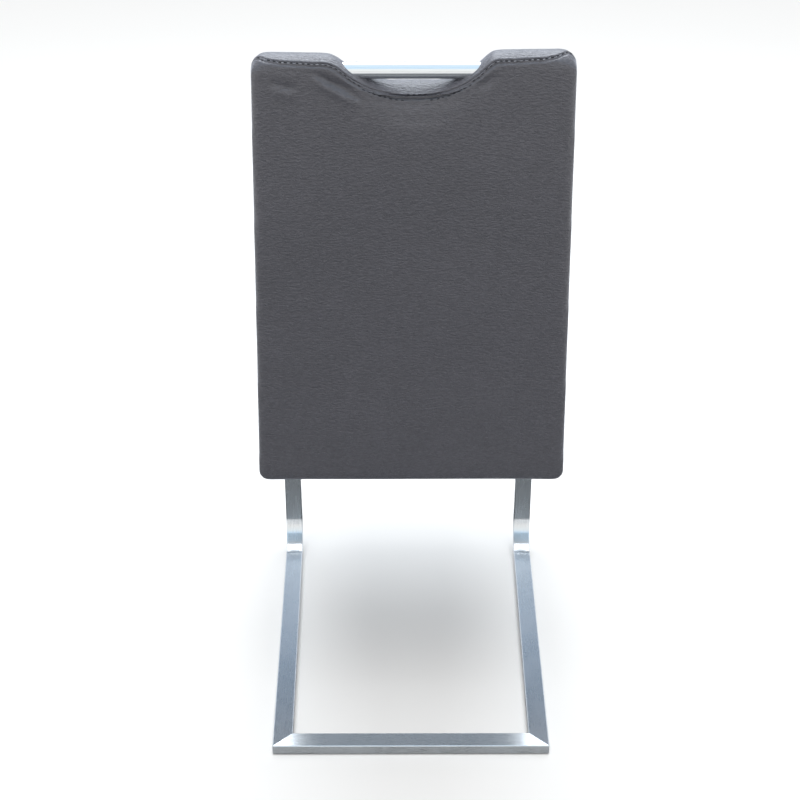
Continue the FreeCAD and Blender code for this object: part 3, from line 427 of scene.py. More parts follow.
@dataclass(frozen=True)
class Steel:
    """Brushed stainless steel, its lines along the piece's run."""

    name: str
    color: Color
    roughness: float = 0.27
    relief: float = 0.03
    lines: float = 5200.0
    spread: float = 1.0
    depth: float = 0.0002

    def build(self) -> Material:
        """Make the material.

        Returns:
            The material.
        """
        made, sheet, shader = start_material(self.name, {"Metallic": 1.0, "Anisotropic": self.spread})
        marks = sheet.add_pattern(Pattern.BRUSHED, {"Lines": self.lines})
        color = sheet.blend(marks["Tone"], shade(self.color, 0.9), shade(self.color, 1.07))
        sheet.plug(shader.inputs["Base Color"], color)
        rough = sheet.spread(marks["Tone"], 0.0, 1.0, self.roughness + 0.03, self.roughness - 0.03)
        patched = sheet.math("ADD", rough, sheet.math("MULTIPLY", marks["Patch"], 0.04))
        sheet.plug(shader.inputs["Roughness"], patched)
        sheet.emboss(shader, marks["Height"], self.depth, self.relief)
        tangent = sheet.add("ShaderNodeTangent", direction_type="UV_MAP", uv_map="run")
        sheet.plug(shader.inputs["Tangent"], tangent.outputs[0])
        return made


@dataclass(frozen=True)
class Speckled:
    """A moulding, paint, plating or cloth with a fine even surface."""

    name: str
    color: Color
    roughness: float
    scale: float = 900.0
    relief: float = 0.3
    depth: float = 0.0004
    metallic: float = 0.0

    def build(self) -> Material:
        """Make the material.

        Returns:
            The material.
        """
        made, sheet, shader = start_material(self.name, {"Metallic": self.metallic})
        marks = sheet.add_pattern(Pattern.SPECKLE, {"Scale": self.scale})
        color = sheet.blend(marks["Tone"], shade(self.color, 0.8), shade(self.color, 1.2))
        sheet.plug(shader.inputs["Base Color"], color)
        rough = sheet.spread(marks["Tone"], 0.0, 1.0, self.roughness + 0.06, self.roughness - 0.06)
        sheet.plug(shader.inputs["Roughness"], rough)
        sheet.emboss(shader, marks["Height"], self.depth, self.relief)
        return made


@dataclass(frozen=True)
class Timber:
    """Raw wood with its rings drawn out along one axis, and plies where it is plywood."""

    name: str
    color: Color
    stretch: tuple[float, float, float] = (6.0, 60.0, 60.0)
    plies: float = 0.0

    def build(self) -> Material:
        """Make the material.

        Returns:
            The material.
        """
        made, sheet, shader = start_material(self.name)
        point = sheet.add("ShaderNodeTexCoord").outputs["Object"]
        drawn = sheet.stretched(point, self.stretch)
        fibre = sheet.noise(drawn, 3.0, detail=5.0, roughness=0.6)
        rings = sheet.add("ShaderNodeTexWave", {"Vector": drawn, "Scale": 0.35, "Distortion": 4.0})
        tone = sheet.total((fibre, 0.6), (rings.outputs["Fac"], 0.4))
        if self.plies:
            height = sheet.add("ShaderNodeSeparateXYZ", {"Vector": point}).outputs[2]
            layer = sheet.math("PINGPONG", height, self.plies)
            tone = sheet.math("ADD", tone, sheet.spread(layer, 0.0, self.plies, -0.12, 0.12))
        color = sheet.blend(sheet.contrast(tone, 0.3, 0.75), shade(self.color, 0.7), shade(self.color, 1.15))
        sheet.plug(shader.inputs["Base Color"], color)
        sheet.plug(shader.inputs["Roughness"], sheet.spread(tone, 0.3, 0.7, 0.75, 0.6))
        sheet.emboss(shader, fibre, 0.0003, 0.3)
        return made


@dataclass(frozen=True)
class Finishes:
    """Every finish on the chair, by the record's slot or by the piece that it is for."""

    cover: Material
    frame_steel: Material
    grip_steel: Material
    bolt_steel: Material
    inner_steel: Material
    black_plastic: Material
    plywood: Material
    batten_wood: Material
    underlining: Material
    thread: Material


def mix_finishes() -> Finishes:
    """Make all the materials.

    Returns:
        The chair's finishes.
    """
    grip = Steel("grip_tube_steel", (0.85, 0.87, 0.88), roughness=0.1, relief=0.02, lines=9000.0, spread=0.0)
    zinc = Speckled(
        "zinc_plate", (0.55, 0.56, 0.57), roughness=0.32, scale=1500.0, relief=0.1, depth=0.0002, metallic=1.0
    )
    spunbond = Speckled("spunbond_cloth", (0.02, 0.02, 0.021), roughness=0.85, scale=1400.0, relief=0.8)
    return Finishes(
        cover=Leather("anthracite_cover", (0.087, 0.084, 0.098)).build(),
        frame_steel=Steel("flat_tube_steel", (0.8, 0.82, 0.84)).build(),
        grip_steel=grip.build(),
        bolt_steel=zinc.build(),
        inner_steel=Speckled("black_primer", (0.045, 0.045, 0.048), roughness=0.5).build(),
        black_plastic=Speckled("black_moulding", (0.03, 0.03, 0.032), roughness=0.42).build(),
        plywood=Timber("birch_plywood", (0.62, 0.46, 0.3), plies=0.0015).build(),
        batten_wood=Timber("beech_battens", (0.62, 0.44, 0.28), stretch=(40.0, 7.0, 60.0)).build(),
        underlining=spunbond.build(),
        thread=Speckled("sewing_thread", (0.018, 0.018, 0.022), roughness=0.7, scale=2500.0).build(),
    )


# Helpers for meshes.


def edges_in(geometry: Iterable[object]) -> list[BMEdge]:
    """The edges among an operator's results."""
    return [item for item in geometry if isinstance(item, BMEdge)]


def verts_in(geometry: Iterable[object]) -> list[BMVert]:
    """The vertices among an operator's results."""
    return [item for item in geometry if isinstance(item, BMVert)]


def ease(
    bm: BMesh, geom: list[BMVert] | list[BMEdge], size: float, steps: int, affect: str = "EDGES",
    clamp: bool = True,
) -> None:
    """Round off edges or corners.

    Args:
        bm: the mesh.
        geom: the edges, or the vertices of the corners.
        size: how far in the rounding starts.
        steps: faces across the rounding.
        affect: EDGES or VERTICES.
        clamp: whether roundings stop where they would meet.
    """
    bmesh.ops.bevel(
        bm, geom=geom, offset=size, offset_type="OFFSET", segments=steps, profile=0.5, affect=affect,
        material=-1, clamp_overlap=clamp,
    )


def slice_off(bm: BMesh, point: Vector | tuple, outward: Vector) -> list[BMEdge]:
    """Cut a closed form at a plane, drop the waste and close the cut.

    Args:
        bm: the form.
        point: a place on the plane.
        outward: the plane's normal, towards the waste.

    Returns:
        The edges round the cut.
    """
    cut = bmesh.ops.bisect_plane(
        bm, geom=[*bm.verts, *bm.edges, *bm.faces], dist=1e-6, plane_co=point, plane_no=outward,
        clear_outer=True,
    )
    edges = edges_in(cut["geom_cut"])
    bmesh.ops.contextual_create(bm, geom=edges)
    return edges


def carry(bm: BMesh, ring: list[BMEdge], move: Vector | tuple) -> list[BMEdge]:
    """Carry a section straight on.

    Args:
        bm: the mesh.
        ring: the section's edges.
        move: how far it goes.

    Returns:
        The edges of its new place.
    """
    made = bmesh.ops.extrude_edge_only(bm, edges=ring)
    bmesh.ops.translate(bm, verts=verts_in(made["geom"]), vec=move)
    return [edge for edge in edges_in(made["geom"]) if len(edge.link_faces) == 1]


def write_run(
    bm: BMesh, along: Callable[[Vector], float], around: Callable[[Vector, Vector], float]
) -> None:
    """Give a tube the UV map that its brushing follows.

    Args:
        bm: the tube.
        along: the way along the tube to a place.
        around: the way round the tube to a place on a face with this normal.
    """
    layer = bm.loops.layers.uv.new("run")
    for face in bm.faces:
        for loop in face.loops:
            loop[layer].uv = (around(loop.vert.co, face.normal), along(loop.vert.co))


def link_mesh(bm: BMesh, name: str) -> Object:
    """Make a bmesh an object in the scene.

    Args:
        bm: the mesh; it is freed.
        name: the object's name.

    Returns:
        The object.
    """
    mesh = bpy.data.meshes.new(name)
    bm.to_mesh(mesh)
    bm.free()
    made = bpy.data.objects.new(name, mesh)
    bpy.context.scene.collection.objects.link(made)
    return made


def finish_piece(
    bm: BMesh, name: str, finish: Material, smooth_angle: float | None = None, flats: bool = False
) -> Object:
    """Make a bmesh an object that rides on the chair.

    Args:
        bm: the mesh; it is freed.
        name: the piece's name.
        finish: its material.
        smooth_angle: edges sharper than this many degrees stay sharp; without it all are smooth.
        flats: whether broad faces keep their own direction, with only the rounds between them shaded round.

    Returns:
        The object.
    """
    for face in bm.faces:
        face.smooth = True
    if smooth_angle is not None:
        limit = math.radians(smooth_angle)
        for edge in bm.edges:
            if len(edge.link_faces) == 2 and edge.calc_face_angle(0.0) > limit:
                edge.smooth = False
    made = link_mesh(bm, name)
    made.data.materials.append(finish)
    if flats:
        even = made.modifiers.new("flats", "WEIGHTED_NORMAL")
        even.keep_sharp = True
        even.weight = 100
    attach(made, "root")
    LOG.info("%s: %d faces", name, len(made.data.polygons))
    return made


def evaluated(source: Object) -> Mesh:
    """The mesh of an object with its modifiers applied."""
    graph = bpy.context.evaluated_depsgraph_get()
    return bpy.data.meshes.new_from_object(source.evaluated_get(graph), depsgraph=graph)


def replace_mesh(target: Object, mesh: Mesh) -> None:
    """Give an object a new mesh and drop its modifiers and its old mesh.

    Args:
        target: the object.
        mesh: its new mesh.
    """
    old = target.data
    target.modifiers.clear()
    target.data = mesh
    bpy.data.meshes.remove(old)


def smoothstep(low: float, high: float, value: float) -> float:
    """A smooth rise from 0 at low to 1 at high."""
    share = max(0.0, min(1.0, (value - low) / (high - low)))
    return share * share * (3 - 2 * share)


def between(points: Pairs, at: float) -> float:
    """Read a value from a short list of (place, value) pairs, straight between them.

    Args:
        points: pairs in rising order of place.
        at: the place to read.

    Returns:
        The value there, or the nearest end's value.
    """
    if at <= points[0][0]:
        return points[0][1]
    for (low, low_value), (high, high_value) in zip(points, points[1:]):
        if at <= high:
            return low_value + (high_value - low_value) * (at - low) / (high - low)
    return points[-1][1]


def swell(bm: BMesh, name: str, voxel: float, limit: Callable[[Vector], float]) -> BMesh:
    """Blow a closed padded form up a little with cloth, and make its mesh twice as fine.

    Args:
        bm: the closed form; it is freed.
        name: a name for the work object.
        voxel: size of the even faces that the form is remade with.
        limit: how far the point at a place may move.

    Returns:
        The swollen form.
    """
    work = link_mesh(bm, name)
    remesh = work.modifiers.new("even_faces", "REMESH")
    remesh.mode = "VOXEL"
    remesh.voxel_size = voxel
    replace_mesh(work, evaluated(work))
    rest = [vertex.co.copy() for vertex in work.data.vertices]

    cloth = work.modifiers.new("air", "CLOTH")
    cloth.settings.quality = CLOTH_QUALITY
    cloth.settings.use_pressure = True
    cloth.settings.uniform_pressure_force = CLOTH_PRESSURE
    cloth.settings.effector_weights.gravity = 0.0
    for step in range(1, CLOTH_FRAMES + 1):
        bpy.context.scene.frame_set(step)
    blown = evaluated(work)
    for vertex, start in zip(blown.vertices, rest):
        move = vertex.co - start
        most = limit(start)
        if move.length > most:
            move *= most / move.length
        vertex.co = start + move
    replace_mesh(work, blown)
    bpy.context.scene.frame_set(1)

    finer = work.modifiers.new("finer", "SUBSURF")
    finer.levels = 1
    finer.render_levels = 1
    replace_mesh(work, evaluated(work))
    result = bmesh.new()
    result.from_mesh(work.data)
    done = work.data
    bpy.data.objects.remove(work)
    bpy.data.meshes.remove(done)
    return result


def chains(edges: Iterable[BMEdge]) -> list[list[Vector]]:
    """Join edges end to end.

    Args:
        edges: the edges.

    Returns:
        The places along each unbroken line.
    """
    links: dict[BMVert, list[BMVert]] = {}
    for edge in edges:
        one, other = edge.verts
        links.setdefault(one, []).append(other)
        links.setdefault(other, []).append(one)
    left = dict.fromkeys(sorted(links, key=lambda v: (len(links[v]) != 1, *v.co)))
    lines = []
    while left:
        here = next(iter(left))
        line = []
        while here is not None:
            del left[here]
            line.append(here.co.copy())
            here = next((v for v in links[here] if v in left), None)
        lines.append(line)
    return lines


def spaced(line: list[Vector], step: float) -> list[tuple[Vector, Vector]]:
    """Evenly spaced places along a line.

    Args:
        line: the places that it joins.
        step: from one to the next.

    Returns:
        Each place with the line's direction there.
    """
    found = []
    ahead = step / 2
    for one, other in zip(line, line[1:]):
        run = other - one
        if run.length < 1e-7:
            continue
        along = run.normalized()
        while ahead <= run.length:
            found.append((one + along * ahead, along))
            ahead += step
        ahead -= run.length
    return found


@dataclass(frozen=True)
class Seam:
    """A line round a padded form where two covers meet, and the form that the sewing gives them.

    The form is sheared until the line lies in a plane, cut there and sheared back. The profile lists how far
    the cover stands out at distances from the line, those on the side that is stitched being above 0.
    """

    normal: Vector
    level: float
    shift: Callable[[Vector], float]
    profile: Pairs
    grain: float = 0.0009
    close: float = 0.0004
    margin: float = 0.001
    rounds: int = 3
    smoothings: int = 5

    def off(self, at: Vector) -> float:
        """How far a place is from the line's sheet, with its side."""
        return at.dot(self.normal) - self.level - self.shift(at)

    def cut(self, bm: BMesh, wanted: Callable[[Vector], bool]) -> list[list[Vector]]:
        """Put an edge ring in the form along the line.

        Args:
            bm: the form.
            wanted: whether the line runs through a face with this middle.

        Returns:
            The places along the line.
        """
        for vertex in bm.verts:
            vertex.co -= self.normal * self.shift(vertex.co)
        faces = [face for face in bm.faces if wanted(face.calc_center_median())]
        edges = dict.fromkeys(edge for face in faces for edge in face.edges)
        verts = dict.fromkeys(vertex for face in faces for vertex in face.verts)
        made = bmesh.ops.bisect_plane(
            bm, geom=[*verts, *edges, *faces], dist=1e-6, plane_co=self.normal * self.level,
            plane_no=self.normal,
        )
        for vertex in bm.verts:
            vertex.co += self.normal * self.shift(vertex.co)
        return chains(edges_in(made["geom_cut"]))

    def tree(self, lines: list[list[Vector]]) -> tuple[KDTree, list[tuple[Vector, Vector]]]:
        """Closely spaced places along the line.

        Args:
            lines: the places along the line.

        Returns:
            A search tree of them, and each place with the line's direction.
        """
        places = [place for line in lines for place in spaced(line, self.close)]
        tree = KDTree(len(places))
        for number, (place, _) in enumerate(places):
            tree.insert(place, number)
        tree.balance()
        return tree, places

    def around(self, bm: BMesh, lines: list[list[Vector]], reach: float) -> list[BMVert]:
        """The vertices in the line's own box, widened all round.

        Args:
            bm: the form.
            lines: the places along the line.
            reach: how far the box is widened.

        Returns:
            The vertices.
        """
        axes = list(zip(*(place for line in lines for place in line)))
        (left, ahead, low), (right, behind, high) = (
            [pick(axis) + side * reach for axis in axes] for pick, side in ((min, -1), (max, 1))
        )
        return [
            v for v in bm.verts
            if left < v.co.x < right and ahead < v.co.y < behind and low < v.co.z < high
        ]

    def refine(self, bm: BMesh, lines: list[list[Vector]]) -> None:
        """Make the mesh fine and round near the line.

        Args:
            bm: the form.
            lines: the places along the line.
        """
        tree, _ = self.tree(lines)
        reach = self.profile[-1][0] + self.margin
        for _ in range(self.rounds):
            near = {v for v in self.around(bm, lines, reach) if tree.find(v.co)[2] < reach}
            faces = [face for face in bm.faces if len(face.verts) > 3 and all(v in near for v in face.verts)]
            bmesh.ops.triangulate(bm, faces=faces)
            long = [
                e for e in bm.edges
                if e.verts[0] in near and e.verts[1] in near and e.calc_length() > self.grain
            ]
            bmesh.ops.subdivide_edges(bm, edges=long, cuts=1, use_grid_fill=True)
        near = [v for v in self.around(bm, lines, reach) if tree.find(v.co)[2] < reach]
        for _ in range(self.smoothings):
            bmesh.ops.smooth_vert(
                bm, verts=near, factor=0.5, use_axis_x=True, use_axis_y=True, use_axis_z=True
            )

    def press(self, bm: BMesh, lines: list[list[Vector]], share: Callable[[Vector], float]) -> None:
        """Move the cover in and out along its normals as the profile says.

        Args:
            bm: the form.
            lines: the places along the line.
            share: how much of the profile holds at a place, 0 to 1.
        """
        tree, places = self.tree(lines)
        bm.normal_update()
        moves = []
        for vertex in self.around(bm, lines, self.profile[-1][0]):
            place, number, distance = tree.find(vertex.co)
            if distance > self.profile[-1][0]:
                continue
            along = places[number][1]
            gap = vertex.co - place
            gap -= along * gap.dot(along)
            away = math.copysign(gap.length, self.off(vertex.co))
            moves.append((vertex, vertex.normal * between(self.profile, away) * share(vertex.co)))
        for vertex, move in moves:
            vertex.co += move


@dataclass(frozen=True)
class Stitching:
    """A row of stitches beside a seam."""

    away: float = 0.004
    pitch: float = 0.0068
    length: float = 0.0047
    thick: float = 0.0013
    sunk: float = 0.1

    def row(
        self, form: BMesh, seam: Seam, lines: list[list[Vector]], wanted: Callable[[Vector], bool]
    ) -> BMesh:
        """Lay the stitches on a form.

        Args:
            form: the form, with its seam pressed in.
            seam: the seam that they follow, on the side that its normal points to.
            lines: the places along the seam.
            wanted: whether a place has a stitch.

        Returns:
            One mesh with a small capsule for each stitch.
        """
        surface = BVHTree.FromBMesh(form)
        bm = bmesh.new()
        for line in lines:
            for place, along in spaced(line, self.pitch):
                if not wanted(place):
                    continue
                _, normal, _, _ = surface.find_nearest(place)
                aside = along.cross(normal).normalized() * self.away
                if seam.off(place + aside) < seam.off(place - aside):
                    aside.negate()
                middle, up, _, _ = surface.find_nearest(place + aside)
                side = along.cross(up).normalized()
                turn = Matrix((side, side.cross(up).normalized() * -1, up)).transposed().to_4x4()
                sized = Matrix.Diagonal((self.thick, self.length, self.thick, 1.0))
                placed = Matrix.Translation(middle + up * self.thick * self.sunk) @ turn @ sized
                bmesh.ops.create_icosphere(bm, subdivisions=1, radius=0.5, matrix=placed)
        bmesh.ops.recalc_face_normals(bm, faces=bm.faces[:])
        return bm


def split_off(bm: BMesh, number: int) -> BMesh:
    """A copy of the faces of a form that carry a piece's number as their material.

    Args:
        bm: the whole form.
        number: the piece's number.

    Returns:
        The piece's own mesh.
    """
    part = bm.copy()
    others = [face for face in part.faces if face.material_index != number]
    bmesh.ops.delete(part, geom=others, context="FACES")
    for face in part.faces:
        face.material_index = 0
    return part


def round_rim(bm: BMesh, face: BMFace, outward: Vector, inset: float, rise: float, steps: int) -> None:
    """Draw a face in and out along a quarter of an oval, which rounds the edge round it.

    Args:
        bm: the form.
        face: the face.
        outward: the way that it moves.
        inset: how far it is drawn in.
        rise: how far it moves out.
        steps: rings in the rounding.
    """
    for number in range(steps):
        low, high = (step * math.pi / 2 / steps for step in (number, number + 1))
        bmesh.ops.inset_region(
            bm, faces=[face], thickness=inset * (math.cos(low) - math.cos(high)), depth=0.0,
            use_boundary=True, use_even_offset=True,
        )
        bmesh.ops.translate(bm, verts=face.verts[:], vec=outward * rise * (math.sin(high) - math.sin(low)))


def turn_in(bm: BMesh, depth: float, lip: float) -> None:
    """Fold the open edges of a cover in, as they are at a seam.

    Args:
        bm: the cover.
        depth: how far the folded edge goes in.
        lip: radius of the fold.
    """
    bm.normal_update()
    rim = [edge for edge in bm.edges if edge.is_boundary]
    inward = {vertex: vertex.normal.copy() for edge in rim for vertex in edge.verts}
    made = bmesh.ops.extrude_edge_only(bm, edges=rim)
    fresh = verts_in(made["geom"])
    old = sorted(inward, key=lambda v: v.index)
    for vertex in fresh:
        source = min(
            (edge.other_vert(vertex) for edge in vertex.link_edges if edge.other_vert(vertex) in inward),
            key=lambda v: (v.co - vertex.co).length, default=old[0],
        )
        vertex.co -= inward[source] * depth
    ease(bm, rim, lip, 2)


def make_covers(
    form: BMesh, pieces: dict[str, tuple[str, ...]], finish: Material,
    place: Matrix | None = None,
) -> None:
    """Cut a padded form into its covers and fold their edges in.

    Args:
        form: the form, its faces numbered by material; it is freed.
        pieces: each cover's name with the CAD nodes that it stands for, in the order of the numbers.
        finish: the covers' material.
        place: from the form's own frame to the chair's.
    """
    fold_depth, fold_radius = 0.004, 0.0003
    for number, (name, nodes) in enumerate(pieces.items()):
        part = split_off(form, number)
        turn_in(part, fold_depth, fold_radius)
        if place is not None:
            bmesh.ops.transform(part, matrix=place, verts=part.verts[:])
        made = finish_piece(part, name, finish)
        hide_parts(*nodes)
    form.free()


# The padded back.


@dataclass(frozen=True)
class Fold:
    """A soft fold in the cover: a valley along a line, with a swell beside it.

    Places are across and up the back, seen from behind in its own frame.
    """

    line: Pairs
    width: float
    depth: float
    swell: float
    reach: float = 5.0
    swell_at: float = 1.7
    swell_width: float = 1.3
    blunt: float = 0.7

    def height(self, across: float, up: float) -> float:
        """How far the cover stands out at a place.

        Args:
            across: place across the back.
            up: place up the back.

        Returns:
            The height, below 0 in the valley.
        """
        best = None
        total = len(self.line) - 1
        for number, (start, end) in enumerate(zip(self.line, self.line[1:])):
            a = Vector(start)
            run = Vector(end) - a
            away = Vector((across, up)) - a
            share = max(0.0, min(1.0, away.dot(run) / run.length_squared))
            miss = away - run * share
            side = (run.x * away.y - run.y * away.x) / run.length
            if best is None or miss.length < best[0]:
                best = (miss.length, side, (number + share) / total)
        near, side, along = best
        if near > self.width * self.reach:
            return 0.0
        ends = math.sin(math.pi * min(1.0, max(0.0, along))) ** self.blunt
        valley = -self.depth * math.exp(-((near / self.width) ** 2))
        off_top = (side - self.width * self.swell_at) / (self.width * self.swell_width)
        beside = self.swell * math.exp(-(off_top ** 2))
        fade = math.exp(-((max(0.0, near - abs(side)) / self.width) ** 2))
        return ends * (valley + beside * fade)


@dataclass
class PaddedBack:
    """The leaning back: tapered, with two horns, a scoop between them and a band sewn round the top."""

    finishes: Finishes
    height: float = 0.628
    bottom_width: float = 0.436
    top_width: float = 0.385
    scoop_radius: float = 0.114
    scoop_depth: float = 0.045
    crown: float = 0.006
    seam_inset: float = 0.005
    horn_corner: float = 0.0165
    low_corner: float = 0.014
    shoulders: tuple[float, float] = (0.0072, 0.004)
    rear_rim: float = 0.0055
    front_rim: float = 0.0145
    drop: float = 0.0015
    puff: float = 0.0042
    draw: float = 0.0022
    scoop_rim: float = 0.0156
    hollow: float = 0.006
    voxel: float = 0.005
    slack: float = 0.0012
    let_out: float = 1.021
    ends: tuple[float, float] = (-0.0024, 0.0016)
    horn_lift: float = 0.0019
    head: float = 0.55
    band_half: float = 0.19
    stitched_from: float = 0.578
    lips_fade: tuple[float, float] = (0.58, 0.6)
    lips_fade_beyond: float = 0.15
    front_lips_fade: tuple[float, float] = (0.178, 0.16)
    thread_from: float = 0.575
    rear_thread_half: float = 0.187
    front_thread_half: float = 0.165

    def outline(self, bm: BMesh) -> BMFace:
        """The back seen square on: tapered sides, horns and the scoop.

        Args:
            bm: an empty mesh.

        Returns:
            Its only face, in the XZ plane.
        """
        inset = self.slack
        top = self.height - inset
        centre = self.height - self.scoop_depth + self.scoop_radius
        radius = self.scoop_radius + inset
        sweep = math.radians(78)
        half_top = self.top_width / 2 - inset
        half_low = self.bottom_width / 2 - inset
        spare = BACK_THICK
        half_spare = half_low + (half_low - half_top) / self.height * spare
        mouth = (radius * math.sin(sweep), centre - radius * math.cos(sweep))
        corners = [(-half_spare, -spare), (half_spare, -spare), (half_top, top), mouth]
        ring = [bm.verts.new((x, 0.0, z)) for x, z in corners]
        arc = bmesh.ops.spin(
            bm, geom=[ring[-1]], cent=(0.0, 0.0, centre), axis=(0.0, 1.0, 0.0), angle=2 * sweep, steps=56,
            use_duplicate=False,
        )
        last = verts_in(arc["geom_last"])[0]
        for vertex in bm.verts:
            if abs(vertex.co.x) < (mouth[0] + half_top) / 2:
                vertex.co.z = self.shoulder(vertex.co.x, vertex.co.z, top)
        horn = bm.verts.new((-half_top, 0.0, top))
        for pair in (ring[:2], ring[1:3], ring[2:], (last, horn), (horn, ring[0])):
            bm.edges.new(pair)
        bmesh.ops.contextual_create(bm, geom=list(bm.edges))
        ease(bm, [ring[2], horn], self.horn_corner, 5, "VERTICES", False)
        return bm.faces[:][0]

    def shoulder(self, across: float, up: float, top: float) -> float:
        """The height of the scoop's arc, eased into the horn's top by a soft shoulder.

        Args:
            across: place across the back.
            up: height of the plain arc there.
            top: height of the horns.

        Returns:
            The eased height.
        """
        softness = self.shoulders[across < 0]
        return top - softness * math.log1p(math.exp((top - up) / softness))

    def closed_form(self) -> BMesh:
        """The whole back as one closed soft form, in its own upright frame.

        Returns:
            The form.
        """
        bm = bmesh.new()
        face = self.outline(bm)
        rear = -self.slack - self.rear_rim
        front = self.slack + self.front_rim - BACK_THICK
        bmesh.ops.translate(bm, verts=bm.verts[:], vec=(0.0, rear, 0.0))
        made = bmesh.ops.extrude_face_region(bm, geom=[face])
        bmesh.ops.translate(bm, verts=verts_in(made["geom"]), vec=(0.0, front - rear, 0.0))
        down = Vector((0.0, math.sin(BACK_LEAN), -math.cos(BACK_LEAN)))
        slice_off(bm, down * self.drop, down)
        bmesh.ops.remove_doubles(bm, verts=bm.verts[:], dist=1e-5)
        bmesh.ops.recalc_face_normals(bm, faces=bm.faces[:])
        corners = [
            e for e in bm.edges
            if abs(e.verts[0].co.y - e.verts[1].co.y) > (rear - front) / 2
            and max(v.co.z for v in e.verts) < self.low_corner / 2
            and abs(e.verts[0].co.x) > self.top_width / 2
        ]
        ease(bm, corners, self.low_corner, 5, clamp=False)
        middle = (rear + front) / 2
        for face in sorted(bm.faces, key=lambda f: f.calc_area())[-2:]:
            if face.calc_center_median().y > middle:
                round_rim(bm, face, Vector((0.0, 1.0, 0.0)), self.rear_rim, self.rear_rim, 4)
            else:
                round_rim(bm, face, Vector((0.0, -1.0, 0.0)), self.front_rim * 1.1, self.front_rim, 5)
        bmesh.ops.triangulate(bm, faces=bm.faces[:])
        return bm

    def may_move(self, at: Vector) -> float:
        """How far the swelling may move a point: little on the rear board, more on the front."""
        front = smoothstep(-0.024, -0.046, at.y)
        return 0.0013 + 0.004 * front

    def carve(self, bm: BMesh) -> None:
        """Let the form out to its full width and height, crown its front, puff its band and lift one horn.

        Args:
            bm: the swollen form.
        """
        crown_half = self.top_width / 2 - 0.008
        crown_low, crown_high = 0.075, self.height - self.scoop_depth - 0.01
        middle = (crown_low + crown_high) / 2
        reach = (crown_high - crown_low) / 2
        low_end, high_end = self.ends
        for vertex in bm.verts:
            at = vertex.co
            at.x *= self.let_out
            at.z += low_end + (high_end - low_end) * at.z / self.height
            front = smoothstep(-0.03, -0.047, at.y)
            across = 1 - (at.x / crown_half) ** 2
            along = 1 - ((at.z - middle) / reach) ** 2
            if front and across > 0 and along > 0:
                at.y -= front * self.crown * across ** 0.8 * along ** 0.8
            at.z += self.band_lift(at)
            rise = smoothstep(0.5, 0.6, at.z)
            at.z += rise * self.horn_lift * (smoothstep(0.03, 0.11, -at.x) - smoothstep(0.03, 0.11, at.x))

    def crumple(self, bm: BMesh) -> None:
        """Lay the folds and the slow unevenness in the rear panel.

        Args:
            bm: the form.
        """
        folds = self.folds()
        for vertex in bm.verts:
            at = vertex.co
            rear = smoothstep(-0.009, -0.0025, at.y)
            if rear:
                fallen = sum(fold.height(at.x, at.z) for fold in folds) + self.sag(at)
                drawn = smoothstep(0.055, 0.0, self.top_at(at.x) - at.z) ** 1.5
                middle = math.exp(-((at.x / 0.06) ** 2))
                at.y += rear * (fallen - self.hollow * (drawn * middle))

    def top_at(self, across: float) -> float:
        """The top of the back.

        Args:
            across: place across the back.

        Returns:
            The height of the horn or the scoop there.
        """
        if abs(across) >= self.scoop_radius:
            return self.height
        centre = self.height - self.scoop_depth + self.scoop_radius
        return min(self.height, centre - math.sqrt(self.scoop_radius ** 2 - across ** 2))

    def band_lift(self, at: Vector) -> float:
        """How far the stuffing lifts the band between its seams, and the seams draw it down.

        Args:
            at: a place on the form.

        Returns:
            The lift, 0 away from the top.
        """
        near = smoothstep(0.045, 0.0, self.top_at(at.x) - at.z)
        if not near:
            return 0.0
        way = max(0.0, min(1.0, (-at.y - self.seam_inset) / (BACK_THICK - 2 * self.seam_inset)))
        horn = self.puff * 4 * way * (1 - way) - self.draw
        rise = min(1.0, way / 0.95)
        dip = self.scoop_rim * (0.58 * rise + 0.42 * rise ** 4) - self.draw * 0.2
        scoop = math.cos(min(1.0, abs(at.x) / 0.088) * math.pi / 2) ** 2
        return near * (horn * (1 - scoop) + dip * scoop)

    def sag(self, at: Vector) -> float:
        """Slow unevenness of the rear panel over its wadding.

        Args:
            at: a place on the panel.

        Returns:
            How far it stands out.
        """
        wave = math.sin(at.x * 23 + 0.7) * math.sin(at.z * 14 + 0.4) * 0.0005
        wave += math.sin(at.x * 9 - 1.1) * math.sin(at.z * 31 + 2.0) * 0.00035
        edge = smoothstep(0.0, 0.05, self.bottom_width / 2 - abs(at.x))
        return wave * edge

    def folds(self) -> list[Fold]:
        """The folds beside the scoop, the longest down from its shoulder.

        Returns:
            The folds.
        """
        shoulder = ((0.1196, 0.6122), (0.1034, 0.6021), (0.0845, 0.5908), (0.0602, 0.5763))
        return [
            Fold(shoulder, 0.0042, 0.0038, 0.0022),
            Fold(((0.0982, 0.605), (0.0818, 0.595), (0.0712, 0.5896)), 0.003, 0.0018, 0.0),
            Fold(((0.1722, 0.6015), (0.1542, 0.5946), (0.138, 0.5915)), 0.005, 0.0022, 0.001),
            Fold(((-0.1022, 0.6095), (-0.088, 0.6), (-0.0741, 0.592)), 0.005, 0.0018, 0.001),
            Fold(((0.05, 0.558), (0.0, 0.551), (-0.05, 0.557)), 0.007, 0.0006, 0.0),
        ]

    def to_side(self, at: Vector) -> float:
        """How far the band's seams have drawn together into the seam down the side.

        Args:
            at: a place on a seam.

        Returns:
            0 across the horns, rising to 1 at the side.
        """
        ends = ((0.12, 0.0), (0.16, 0.1), (0.175, 0.27), (0.184, 0.6), (0.19, 0.92), (0.1935, 1.0))
        early = 0.006 * smoothstep(0.1, 0.15, -at.x) * smoothstep(0.1935, 0.18, -at.x)
        return max(between(ends, abs(at.x) + early), smoothstep(0.5, 0.4, at.z))

